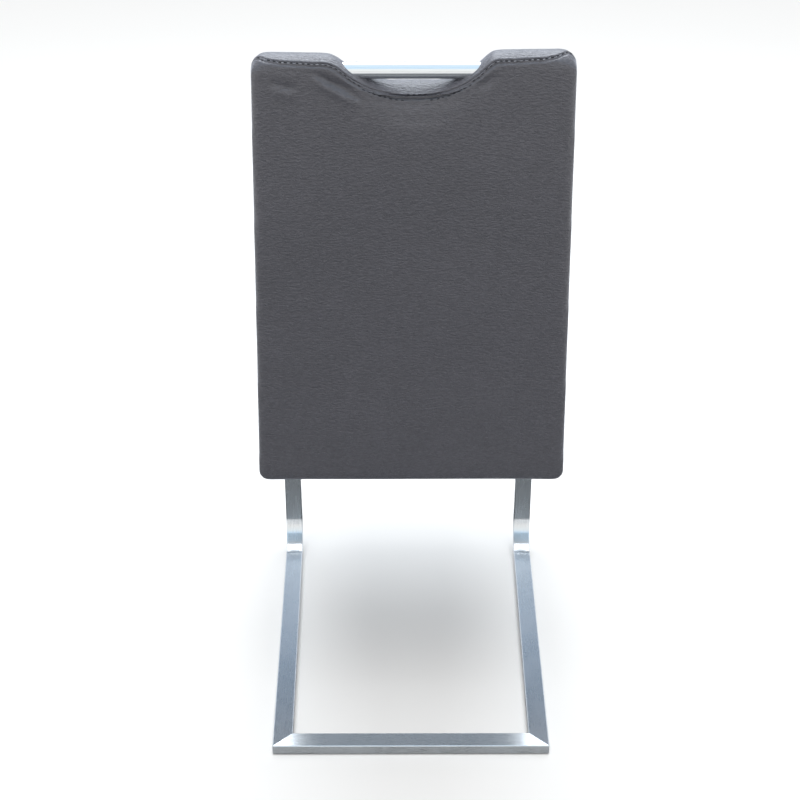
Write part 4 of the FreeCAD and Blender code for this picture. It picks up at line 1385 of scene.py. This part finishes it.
    def seams(self) -> tuple[Seam, Seam, Seam]:
        """The lines where the covers meet.

        Returns:
            The band's rear and front seams with their stitched lips, and the plain seam down the sides.
        """
        drawn = BACK_THICK / 2 - self.seam_inset

        def shift(at: Vector) -> float:
            """How far a seam has moved towards the middle of the back's thickness."""
            return -drawn * self.to_side(at)

        rear = Seam(Vector((0.0, 1.0, 0.0)), -self.seam_inset, shift, STITCHED_LIPS)
        front = Seam(Vector((0.0, -1.0, 0.0)), BACK_THICK - self.seam_inset, shift, STITCHED_LIPS)
        return rear, front, Seam(rear.normal, rear.level, shift, PLAIN_LIPS)

    def build(self) -> None:
        """Make the three covers and their stitches."""
        form = swell(self.closed_form(), "back_work", self.voxel, self.may_move)
        self.carve(form)
        rear, front, side = self.seams()
        rear_lines = rear.cut(form, lambda at: True)
        front_lines = front.cut(form, lambda at: at.z > self.head and abs(at.x) < self.band_half)
        for face in form.faces:
            middle = face.calc_center_median()
            ahead = front.off(middle) > 0 or middle.z < self.head or abs(middle.x) > self.band_half
            face.material_index = 0 if rear.off(middle) > 0 else 1 if ahead else 2
        top_of_rear, side_line = [], []
        for line in rear_lines:
            for one, other in zip(line, line[1:]):
                chosen = top_of_rear if min(one.z, other.z) > self.stitched_from else side_line
                chosen.append([one, other])
        for seam, lines in ((rear, top_of_rear), (front, front_lines), (side, side_line)):
            seam.refine(form, lines)

        def high(at: Vector) -> float:
            """1 along the band, fading down the sides."""
            return smoothstep(*self.lips_fade, at.z) if abs(at.x) > self.lips_fade_beyond else 1.0

        rear.press(form, top_of_rear, high)
        front.press(form, front_lines, lambda at: smoothstep(*self.front_lips_fade, abs(at.x)))
        side.press(form, side_line, lambda at: 1.0 - high(at) * (at.z > self.head))
        self.crumple(form)
        form.normal_update()
        place = Matrix.Translation(BACK_FOOT) @ Matrix.Rotation(-BACK_LEAN, 4, "X")
        for name, seam, lines, reach in (
            ("back_rear_stitches", rear, rear_lines, self.rear_thread_half),
            ("back_front_stitches", front, front_lines, self.front_thread_half),
        ):
            thread = Stitching().row(
                form, seam, lines, lambda at: at.z > self.thread_from and abs(at.x) < reach
            )
            bmesh.ops.transform(thread, matrix=place, verts=thread.verts[:])
            finish_piece(thread, name, self.finishes.thread)
        pieces = {
            "back_rear_panel": ("back_cover_rear", "back_foam_rear", "back_head_wadding"),
            "back_front_cushion": ("back_cover_front", "back_foam_front", "back_head_foam"),
            "back_top_band": ("back_cover_band",),
        }
        make_covers(form, pieces, self.finishes.cover, place)


# The padded seat.


@dataclass
class PaddedSeat:
    """The seat cushion: a crowned top sewn to a border that turns under as a hem."""

    finishes: Finishes
    base_height: float = 0.4283
    height: float = 0.062
    crown: float = 0.007
    front: float = -0.3055
    front_half: float = 0.226
    rear_half: float = 0.218
    bow: float = 0.006
    corner: float = 0.026
    top_edge: float = 0.015
    seam_drop: float = 0.02
    low_edge: float = 0.0045
    crown_half: float = 0.2
    back_gap: float = 0.0003
    voxel: float = 0.006
    slack: float = 0.0015

    def rear_at(self, up: float) -> float:
        """Where the seat meets the leaning back at a height above the seat's base."""
        rise = self.base_height - BACK_FOOT[2] + up
        return BACK_FOOT[1] - (BACK_THICK + self.back_gap) / math.cos(BACK_LEAN) + rise * math.tan(BACK_LEAN)

    def closed_form(self) -> BMesh:
        """The whole cushion as one closed soft form.

        Returns:
            The form.
        """
        bm = bmesh.new()
        inset = self.slack
        low = self.base_height + inset
        high = self.base_height + self.height - self.crown - inset
        front = self.front + self.bow + inset
        rear = self.rear_at(self.height) + 0.03
        spread = (self.front_half - self.rear_half) / (self.rear_at(0.0) - self.front)
        bmesh.ops.create_grid(bm, x_segments=12, y_segments=1, size=0.5)
        for vertex in bm.verts:
            share = vertex.co.y + 0.5
            y = front + (rear - front) * share
            half = self.front_half - inset - (y - front) * spread
            arch = self.bow * (1 - (vertex.co.x * 2) ** 2) * (1 - share)
            vertex.co = Vector((vertex.co.x * 2 * half, y - arch, low))
        made = bmesh.ops.extrude_face_region(bm, geom=bm.faces[:])
        bmesh.ops.translate(bm, verts=verts_in(made["geom"]), vec=(0.0, 0.0, high - low))
        bmesh.ops.recalc_face_normals(bm, faces=bm.faces[:])
        away = Vector((0.0, math.cos(BACK_LEAN), -math.sin(BACK_LEAN)))
        slice_off(bm, (0.0, self.rear_at(0.0) - inset, self.base_height), away)
        bmesh.ops.recalc_face_normals(bm, faces=bm.faces[:])
        uprights = [
            e for e in bm.edges
            if abs(e.verts[0].co.z - e.verts[1].co.z) > self.height / 2 and e.verts[0].co.y < 0
            and abs(e.verts[0].co.x) > self.front_half * 0.97
        ]
        ease(bm, uprights, self.corner, 6, clamp=False)
        bmesh.ops.dissolve_limit(bm, angle_limit=0.01, verts=bm.verts[:], edges=bm.edges[:])
        for level, radius in ((high, self.top_edge), (low, self.low_edge)):
            rim = [
                e for e in bm.edges
                if all(abs(v.co.z - level) < 1e-5 for v in e.verts) and len(e.link_faces) == 2
                and e.calc_face_angle(0.0) > 0.5
            ]
            ease(bm, rim, radius, 5)
        bmesh.ops.triangulate(bm, faces=bm.faces[:])
        return bm

    def may_move(self, at: Vector) -> float:
        """How far the swelling may move a point: none below, more over the foam's middle."""
        up = smoothstep(self.base_height, self.base_height + self.height, at.z)
        return 0.0006 + 0.0045 * up

    def carve(self, bm: BMesh) -> None:
        """Crown the cushion's top.

        Args:
            bm: the swollen form.
        """
        rear = self.rear_at(self.height)
        middle = (self.front + rear) / 2
        reach = (rear - self.front) / 2 - 0.02
        rise = self.crown - 0.0025
        for vertex in bm.verts:
            at = vertex.co
            up = smoothstep(self.base_height + 0.025, self.base_height + 0.052, at.z)
            across = 1 - (at.x / self.crown_half) ** 2
            along = 1 - ((at.y - middle) / reach) ** 2
            if up and across > 0 and along > 0:
                at.z += up * rise * (across * along) ** 0.75

    def build(self) -> None:
        """Make the top, the border and their stitches."""
        form = swell(self.closed_form(), "seat_work", self.voxel, self.may_move)
        self.carve(form)
        level = self.base_height + self.height - self.seam_drop
        seam = Seam(Vector((0.0, 0.0, 1.0)), level, lambda at: 0.0, STITCHED_LIPS)
        lines = seam.cut(form, lambda at: True)
        for face in form.faces:
            face.material_index = int(seam.off(face.calc_center_median()) < 0)
        seam.refine(form, lines)
        seam.press(form, lines, lambda at: 1.0)
        form.normal_update()
        reach = self.rear_at(0.0) - 0.004
        thread = Stitching().row(form, seam, lines, lambda at: at.y < reach)
        finish_piece(thread, "seat_stitches", self.finishes.thread)
        pieces = {
            "seat_top_panel": ("seat_cover_top", "seat_foam"),
            "seat_border": ("seat_cover_border",),
        }
        make_covers(form, pieces, self.finishes.cover)


# The steel.


@dataclass
class SteelFrame:
    """The sprung loop of flat tube: two side frames and the floor crossbar between them."""

    finishes: Finishes
    width: float = 0.03
    thick: float = 0.016
    corner: float = 0.0019
    rear_width: float = 0.419
    front_width: float = 0.46
    reach: float = 0.601
    overhang: float = 0.01
    glide: float = 0.002
    inner_bend: float = 0.048
    rail_top: float = 0.428
    rail: float = 0.43
    mitre_edge: float = 0.00035
    sharp: float = 40.0

    def __post_init__(self) -> None:
        """Work out the plan of the loop and the route of a side's centre line from the sizes."""
        half = self.width / 2
        self.splay = math.atan((self.front_width - self.rear_width) / 2 / self.reach)
        self.rear = (self.reach + self.overhang) / 2
        self.mitre = half * math.tan(math.radians(45) - self.splay / 2)
        self.corner_x = self.rear_width / 2 - half * math.cos(self.splay) + self.mitre * math.sin(self.splay)
        self.corner_y = self.rear - half
        front = self.width + (self.reach - half) / math.cos(self.splay)
        self.low = self.thick / 2
        self.high = self.rail_top - self.glide - self.low
        self.bend = self.inner_bend + self.low
        self.turned = self.low - front + self.bend
        self.upright = self.high - self.low - 2 * self.bend
        self.rail_end = self.rail - front

    def section(self, bm: BMesh) -> list[BMEdge]:
        """The tube's outside, rounded at its corners, in the XZ plane about the origin.

        Args:
            bm: an empty mesh.

        Returns:
            The section's edges.
        """
        size = Matrix.Diagonal((self.width, self.thick, 1.0, 1.0))
        bmesh.ops.create_grid(bm, x_segments=1, y_segments=1, size=0.5)
        bmesh.ops.transform(bm, verts=bm.verts[:], matrix=Matrix.Rotation(math.pi / 2, 4, "X") @ size)
        ease(bm, bm.verts[:], self.corner, 4, "VERTICES")
        bmesh.ops.delete(bm, geom=bm.faces[:], context="FACES_ONLY")
        return bm.edges[:]

    def run_along(self, at: Vector) -> float:
        """The way along a side frame's centre line, in its own frame.

        Args:
            at: a place on the side.

        Returns:
            The way to the place on the line that is nearest.
        """
        quarter = self.bend * math.pi / 2
        behind = at.y - self.turned
        if behind > 0:
            on_floor = at.z < (self.low + self.high) / 2
            return -at.y if on_floor else behind - self.turned + 2 * quarter + self.upright
        if at.z < self.low + self.bend:
            return -self.turned + self.bend * math.atan2(-behind, self.low + self.bend - at.z)
        if at.z > self.high - self.bend:
            start = -self.turned + quarter + self.upright
            return start + self.bend * math.atan2(at.z - self.high + self.bend, -behind)
        return -self.turned + quarter + at.z - self.low - self.bend

    def side_frame(self, name: str, side: int, node: str) -> None:
        """One bent side: runner, front bend, leg, upper bend and seat rail.

        Args:
            name: the piece's name.
            side: 1 on the sitter's left and -1 on the right.
            node: the CAD node that it stands for.
        """
        bm = bmesh.new()
        edges = self.section(bm)
        bmesh.ops.translate(bm, verts=bm.verts[:], vec=(0.0, 0.0, self.low))
        edges = carry(bm, edges, (0.0, self.turned, 0.0))
        for height, way in (
            (self.low + self.bend, (0.0, 0.0, self.upright)),
            (self.high - self.bend, (0.0, self.rail_end - self.turned, 0.0)),
        ):
            made = bmesh.ops.spin(
                bm, geom=edges, cent=(0.0, self.turned, height), axis=(1.0, 0.0, 0.0), angle=-math.pi / 2,
                steps=18, use_duplicate=False,
            )
            edges = carry(bm, edges_in(made["geom_last"]), way)
        bmesh.ops.contextual_create(bm, geom=edges)
        waste = Vector((-self.mitre * 2 * side, self.width, 0.0)).normalized()
        ease(bm, slice_off(bm, Vector((0.0, -self.width, 0.0)), waste), self.mitre_edge, 2)
        bmesh.ops.remove_doubles(bm, verts=bm.verts[:], dist=1e-6)
        bmesh.ops.recalc_face_normals(bm, faces=bm.faces[:])
        write_run(bm, self.run_along, lambda at, n: at.x if abs(n.x) < 0.7 else at.y + at.z)
        start = Vector((
            (self.corner_x - self.width * math.sin(self.splay)) * side,
            self.corner_y + self.width * math.cos(self.splay), self.glide,
        ))
        place = Matrix.Translation(start) @ Matrix.Rotation(self.splay * side, 4, "Z")
        bmesh.ops.transform(bm, matrix=place, verts=bm.verts[:])
        made = finish_piece(bm, name, self.finishes.frame_steel, self.sharp, flats=True)
        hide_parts(node)

    def floor_bar(self) -> None:
        """The crossbar at the rear, mitred into both runners."""
        bm = bmesh.new()
        edges = self.section(bm)
        half = self.rear_width / 2 + self.width
        turn = Matrix.Rotation(math.pi / 2, 4, "Z")
        place = Matrix.Translation((-half, self.corner_y, self.glide + self.low)) @ turn
        bmesh.ops.transform(bm, matrix=place, verts=bm.verts[:])
        carry(bm, edges, (half * 2, 0.0, 0.0))
        outer = self.rear_width / 2
        inner = self.corner_x * 2 - outer
        for side in (-1, 1):
            waste = Vector((self.width * side, inner - outer, 0.0)).normalized()
            ease(bm, slice_off(bm, Vector((outer * side, self.rear, 0.0)), waste), self.mitre_edge, 2)
        bmesh.ops.recalc_face_normals(bm, faces=bm.faces[:])
        write_run(bm, lambda at: at.x, lambda at, n: at.y if abs(n.z) > 0.7 else at.z + 1.0)
        steel = self.finishes.frame_steel
        made = finish_piece(bm, "floor_bar", steel, self.sharp, flats=True)
        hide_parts("floor_crossbar")

    def build(self) -> None:
        """Make both sides and the bar."""
        self.side_frame("bent_side_left", 1, "side_frame_left")
        self.side_frame("bent_side_right", -1, "side_frame_right")
        self.floor_bar()


@dataclass
class HandGrip:
    """The round tube across the scoop, its ends inside the horns."""

    finishes: Finishes
    radius: float = 0.01
    wall: float = 0.0015
    segments: int = 64
    sharp: float = 40.0

    def build(self) -> None:
        """Make the tube where its CAD solid is."""
        low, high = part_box("grip_tube")
        centre = (low + high) / 2
        bm = bmesh.new()
        bmesh.ops.create_circle(bm, cap_ends=False, segments=self.segments, radius=self.radius)
        place = Matrix.Translation((low.x, centre.y, centre.z)) @ Matrix.Rotation(math.pi / 2, 4, "Y")
        bmesh.ops.transform(bm, matrix=place, verts=bm.verts[:])
        carry(bm, bm.edges[:], (high.x - low.x, 0.0, 0.0))
        bmesh.ops.recalc_face_normals(bm, faces=bm.faces[:])
        first = bm.faces[:][0]
        if first.normal.dot(first.calc_center_median() - centre) < 0:
            bmesh.ops.reverse_faces(bm, faces=bm.faces[:])
        bmesh.ops.solidify(bm, geom=bm.faces[:], thickness=self.wall)
        write_run(
            bm, lambda at: at.x, lambda at, n: math.atan2(at.z - centre.z, at.y - centre.y) * self.radius
        )
        made = finish_piece(bm, "hand_grip", self.finishes.grip_steel, self.sharp)
        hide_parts("grip_tube")


def dress_nodes(finishes: Finishes) -> None:
    """Give every CAD node that is carried over its finish.

    Args:
        finishes: the chair's finishes.
    """
    slots = {part["node"]: part["material_slot"] for part in frame["record"]["subparts"]}
    for name, node in frame["nodes"].items():
        finish = getattr(finishes, slots[name], None)
        if finish is None:
            continue
        if not node.material_slots:
            node.data.materials.append(finish)
        for slot in node.material_slots:
            slot.material = finish
        LOG.info("%s: %s", name, finish.name)


# Floor, light and camera.


# What metal mirrors of the studio, by the angle up from behind, over the top and down in front.
MIRRORED_SKY: tuple[tuple[float, Color], ...] = (
    (0.0, (1.04, 1.03, 1.0)),
    (27.0, (1.0, 1.06, 1.08)),
    (37.0, (0.72, 0.93, 1.12)),
    (75.0, (0.82, 1.02, 1.2)),
    (90.0, (1.0, 1.04, 1.08)),
    (137.0, (1.1, 1.1, 1.1)),
    (138.5, (0.02, 0.04, 0.07)),
    (141.5, (0.05, 0.09, 0.14)),
    (144.5, (0.17, 0.25, 0.36)),
    (147.5, (0.48, 0.6, 0.74)),
    (156.0, (0.92, 0.99, 1.1)),
)


@dataclass
class Studio:
    """A plain pale floor, soft light from above and in front of the chair, and the camera behind it."""

    lens: float = 60.66
    pitch: float = math.radians(26.08)
    turn: float = math.radians(-0.126)
    place: tuple[float, float, float] = (0.020, 1.9055, 1.383)
    floor_color: Color = (0.745, 0.735, 0.715)
    floor_half: float = 40.0
    floor_lift: float = 0.19
    mat_half: float = 1.1
    mat_lift: float = 0.0004
    dome_light: float = 0.46
    dome_color: Color = (0.93, 0.97, 1.02)
    glance: float = 0.59
    sun_strength: float = 1.7
    sun_width: float = math.radians(40)
    sun_tilt: float = math.radians(-14)
    panel_watts: float = 80.0
    panel_size: tuple[float, float] = (2.6, 2.5)
    panel_color: Color = (0.87, 0.94, 1.02)
    panel_place: tuple[float, float, float] = (0.0, -1.5, 3.0)

    def add_object(self, name: str, data: ID) -> Object:
        """Put a lamp or the camera in the scene.

        Args:
            name: its name.
            data: its lamp or camera data.

        Returns:
            The object.
        """
        made = bpy.data.objects.new(name, data)
        bpy.context.scene.collection.objects.link(made)
        return made

    def flat(self, name: str, half: tuple[float, float], place: tuple[float, float, float]) -> Object:
        """A flat staged sheet that lies level.

        Args:
            name: its name.
            half: half its width and depth.
            place: its middle.

        Returns:
            The object.
        """
        bm = bmesh.new()
        placed = Matrix.Translation(place) @ Matrix.Diagonal((*half, 1.0, 1.0))
        bmesh.ops.create_grid(bm, x_segments=1, y_segments=1, size=1.0, matrix=placed)
        made = link_mesh(bm, name)
        return made

    def seen(self, sheet: Sheet) -> NodeSocket:
        """A value that is 1 for rays that show a surface itself: to the camera, in metal and through glass.

        Args:
            sheet: the node tree that it is for.

        Returns:
            The value's socket.
        """
        rays = sheet.add("ShaderNodeLightPath").outputs
        seen = sheet.math("MAXIMUM", rays["Is Camera Ray"], rays["Is Glossy Ray"])
        return sheet.math("MAXIMUM", seen, rays["Is Transmission Ray"])

    def floor(self) -> None:
        """A wide pale floor."""
        made = self.flat("floor", (self.floor_half, self.floor_half), (0.0, 0.0, 0.0))
        pale, sheet, shader = start_material("pale_floor", {
            "Base Color": (*self.floor_color, 1.0), "Roughness": 1.0, "Specular IOR Level": 0.0,
            "Emission Color": (1.0, 1.0, 1.0, 1.0),
        })
        lift = sheet.math("MULTIPLY", self.seen(sheet), self.floor_lift)
        sheet.plug(shader.inputs["Emission Strength"], lift)
        made.data.materials.append(pale)

    def mat(self, name: str, near: float, far: float, tone: float, mirrored_only: bool) -> None:
        """A grey sheet on the floor, out of the camera's sight and clear where it is seen at a glance: it
        paints dark reflections in the metal and, where diffuse rays see it, painted shade on the rear of the
        back.

        Args:
            name: its name.
            near: how far back it starts.
            far: how far back it ends.
            tone: how pale it is.
            mirrored_only: whether it shows in mirroring surfaces alone.
        """
        made = self.flat(name, (self.mat_half, (far - near) / 2), (0.0, (far + near) / 2, self.mat_lift))
        color = (tone * 0.97, tone, tone * 1.03, 1.0)
        grey, sheet, shader = start_material(name, {"Base Color": color, "Roughness": 1.0})
        facing = sheet.add("ShaderNodeLayerWeight", {"Blend": 0.5}).outputs["Facing"]
        clear = sheet.add("ShaderNodeBsdfTransparent").outputs[0]
        glance = sheet.math("GREATER_THAN", facing, self.glance)
        mixed = sheet.add("ShaderNodeMixShader", {0: glance, 1: shader.outputs[0], 2: clear})
        sheet.plug(sheet.tree.nodes["Material Output"].inputs["Surface"], mixed.outputs[0])
        made.data.materials.append(grey)
        for rays in ("camera", "shadow", "transmission", *(("diffuse",) if mirrored_only else ())):
            setattr(made, "visible_" + rays, False)

    def sky(self) -> None:
        """An even dome; surfaces that mirror it see white round the horizon and cooler bands overhead."""
        world = bpy.data.worlds.new("studio")
        world.use_nodes = True
        bpy.context.scene.world = world
        sheet = Sheet(world.node_tree)
        way = sheet.add("ShaderNodeTexCoord").outputs["Generated"]
        parts = sheet.add("ShaderNodeSeparateXYZ", {"Vector": way}).outputs
        turn = sheet.math("DIVIDE", sheet.math("ARCTAN2", parts[2], parts[1]), math.pi)
        bands = sheet.add("ShaderNodeValToRGB", {"Fac": turn})
        stops = bands.color_ramp.elements
        for angle, _ in MIRRORED_SKY[1:-1]:
            stops.new(angle / 180)
        for stop, (angle, color) in zip(stops, MIRRORED_SKY):
            stop.position = angle / 180
            stop.color = (*color, 1.0)
        seen = self.seen(sheet)
        dome = world.node_tree.nodes["Background"]
        color = sheet.blend(seen, (*self.dome_color, 1.0), bands.outputs["Color"])
        sheet.plug(dome.inputs["Color"], color)
        sheet.plug(dome.inputs["Strength"], sheet.spread(seen, 0.0, 1.0, self.dome_light, 1.0))

    def overhead(self) -> None:
        """A large soft light straight above, a little behind the chair."""
        data = bpy.data.lights.new("overhead", "SUN")
        data.energy = self.sun_strength
        data.angle = self.sun_width
        made = self.add_object("overhead", data)
        made.matrix_world = Matrix.Rotation(self.sun_tilt, 4, "X")
        made.visible_glossy = False

    def front_panel(self) -> None:
        """A soft panel lamp high in front of the chair, facing down."""
        data = bpy.data.lights.new("front_panel", "AREA")
        data.shape = "RECTANGLE"
        data.size, data.size_y = self.panel_size
        data.energy = self.panel_watts
        data.color = self.panel_color
        made = self.add_object("front_panel", data)
        down = Vector((0.0, 0.0, -1.0)).to_track_quat("-Z", "Y").to_matrix().to_4x4()
        made.matrix_world = Matrix.Translation(self.panel_place) @ down

    def camera(self) -> None:
        """The camera behind the chair, looking down at it."""
        data = bpy.data.cameras.new("camera")
        data.sensor_width = 36.0
        data.lens = self.lens
        made = self.add_object("camera", data)
        made.location = self.place
        made.rotation_euler = (math.pi / 2 - self.pitch, 0.0, math.pi + self.turn)
        bpy.context.scene.camera = made

    def build(self) -> None:
        """Set the studio up."""
        bpy.context.scene.view_settings.view_transform = "Standard"
        self.floor()
        self.sky()
        # Painted reflections: dark sheets that only mirrored rays see. The two behind also paint shade on the
        # rear of the back through diffuse rays.
        self.mat("painted_reflection_below", -0.4, 0.43, 0.08, True)
        self.mat("painted_reflection_and_shade_behind", 0.43, 0.9, 0.26, False)
        self.mat("painted_reflection_and_shade_far_behind", 0.9, 2.0, 0.2, False)
        self.overhead()
        self.front_panel()
        self.camera()


def main() -> None:
    """Build the chair's looks in order."""
    logging.basicConfig(level=logging.INFO, format="%(name)s %(message)s")
    finishes = mix_finishes()
    dress_nodes(finishes)
    SteelFrame(finishes).build()
    HandGrip(finishes).build()
    PaddedBack(finishes).build()
    PaddedSeat(finishes).build()
    Studio().build()


if __name__ == "__main__":
    main()
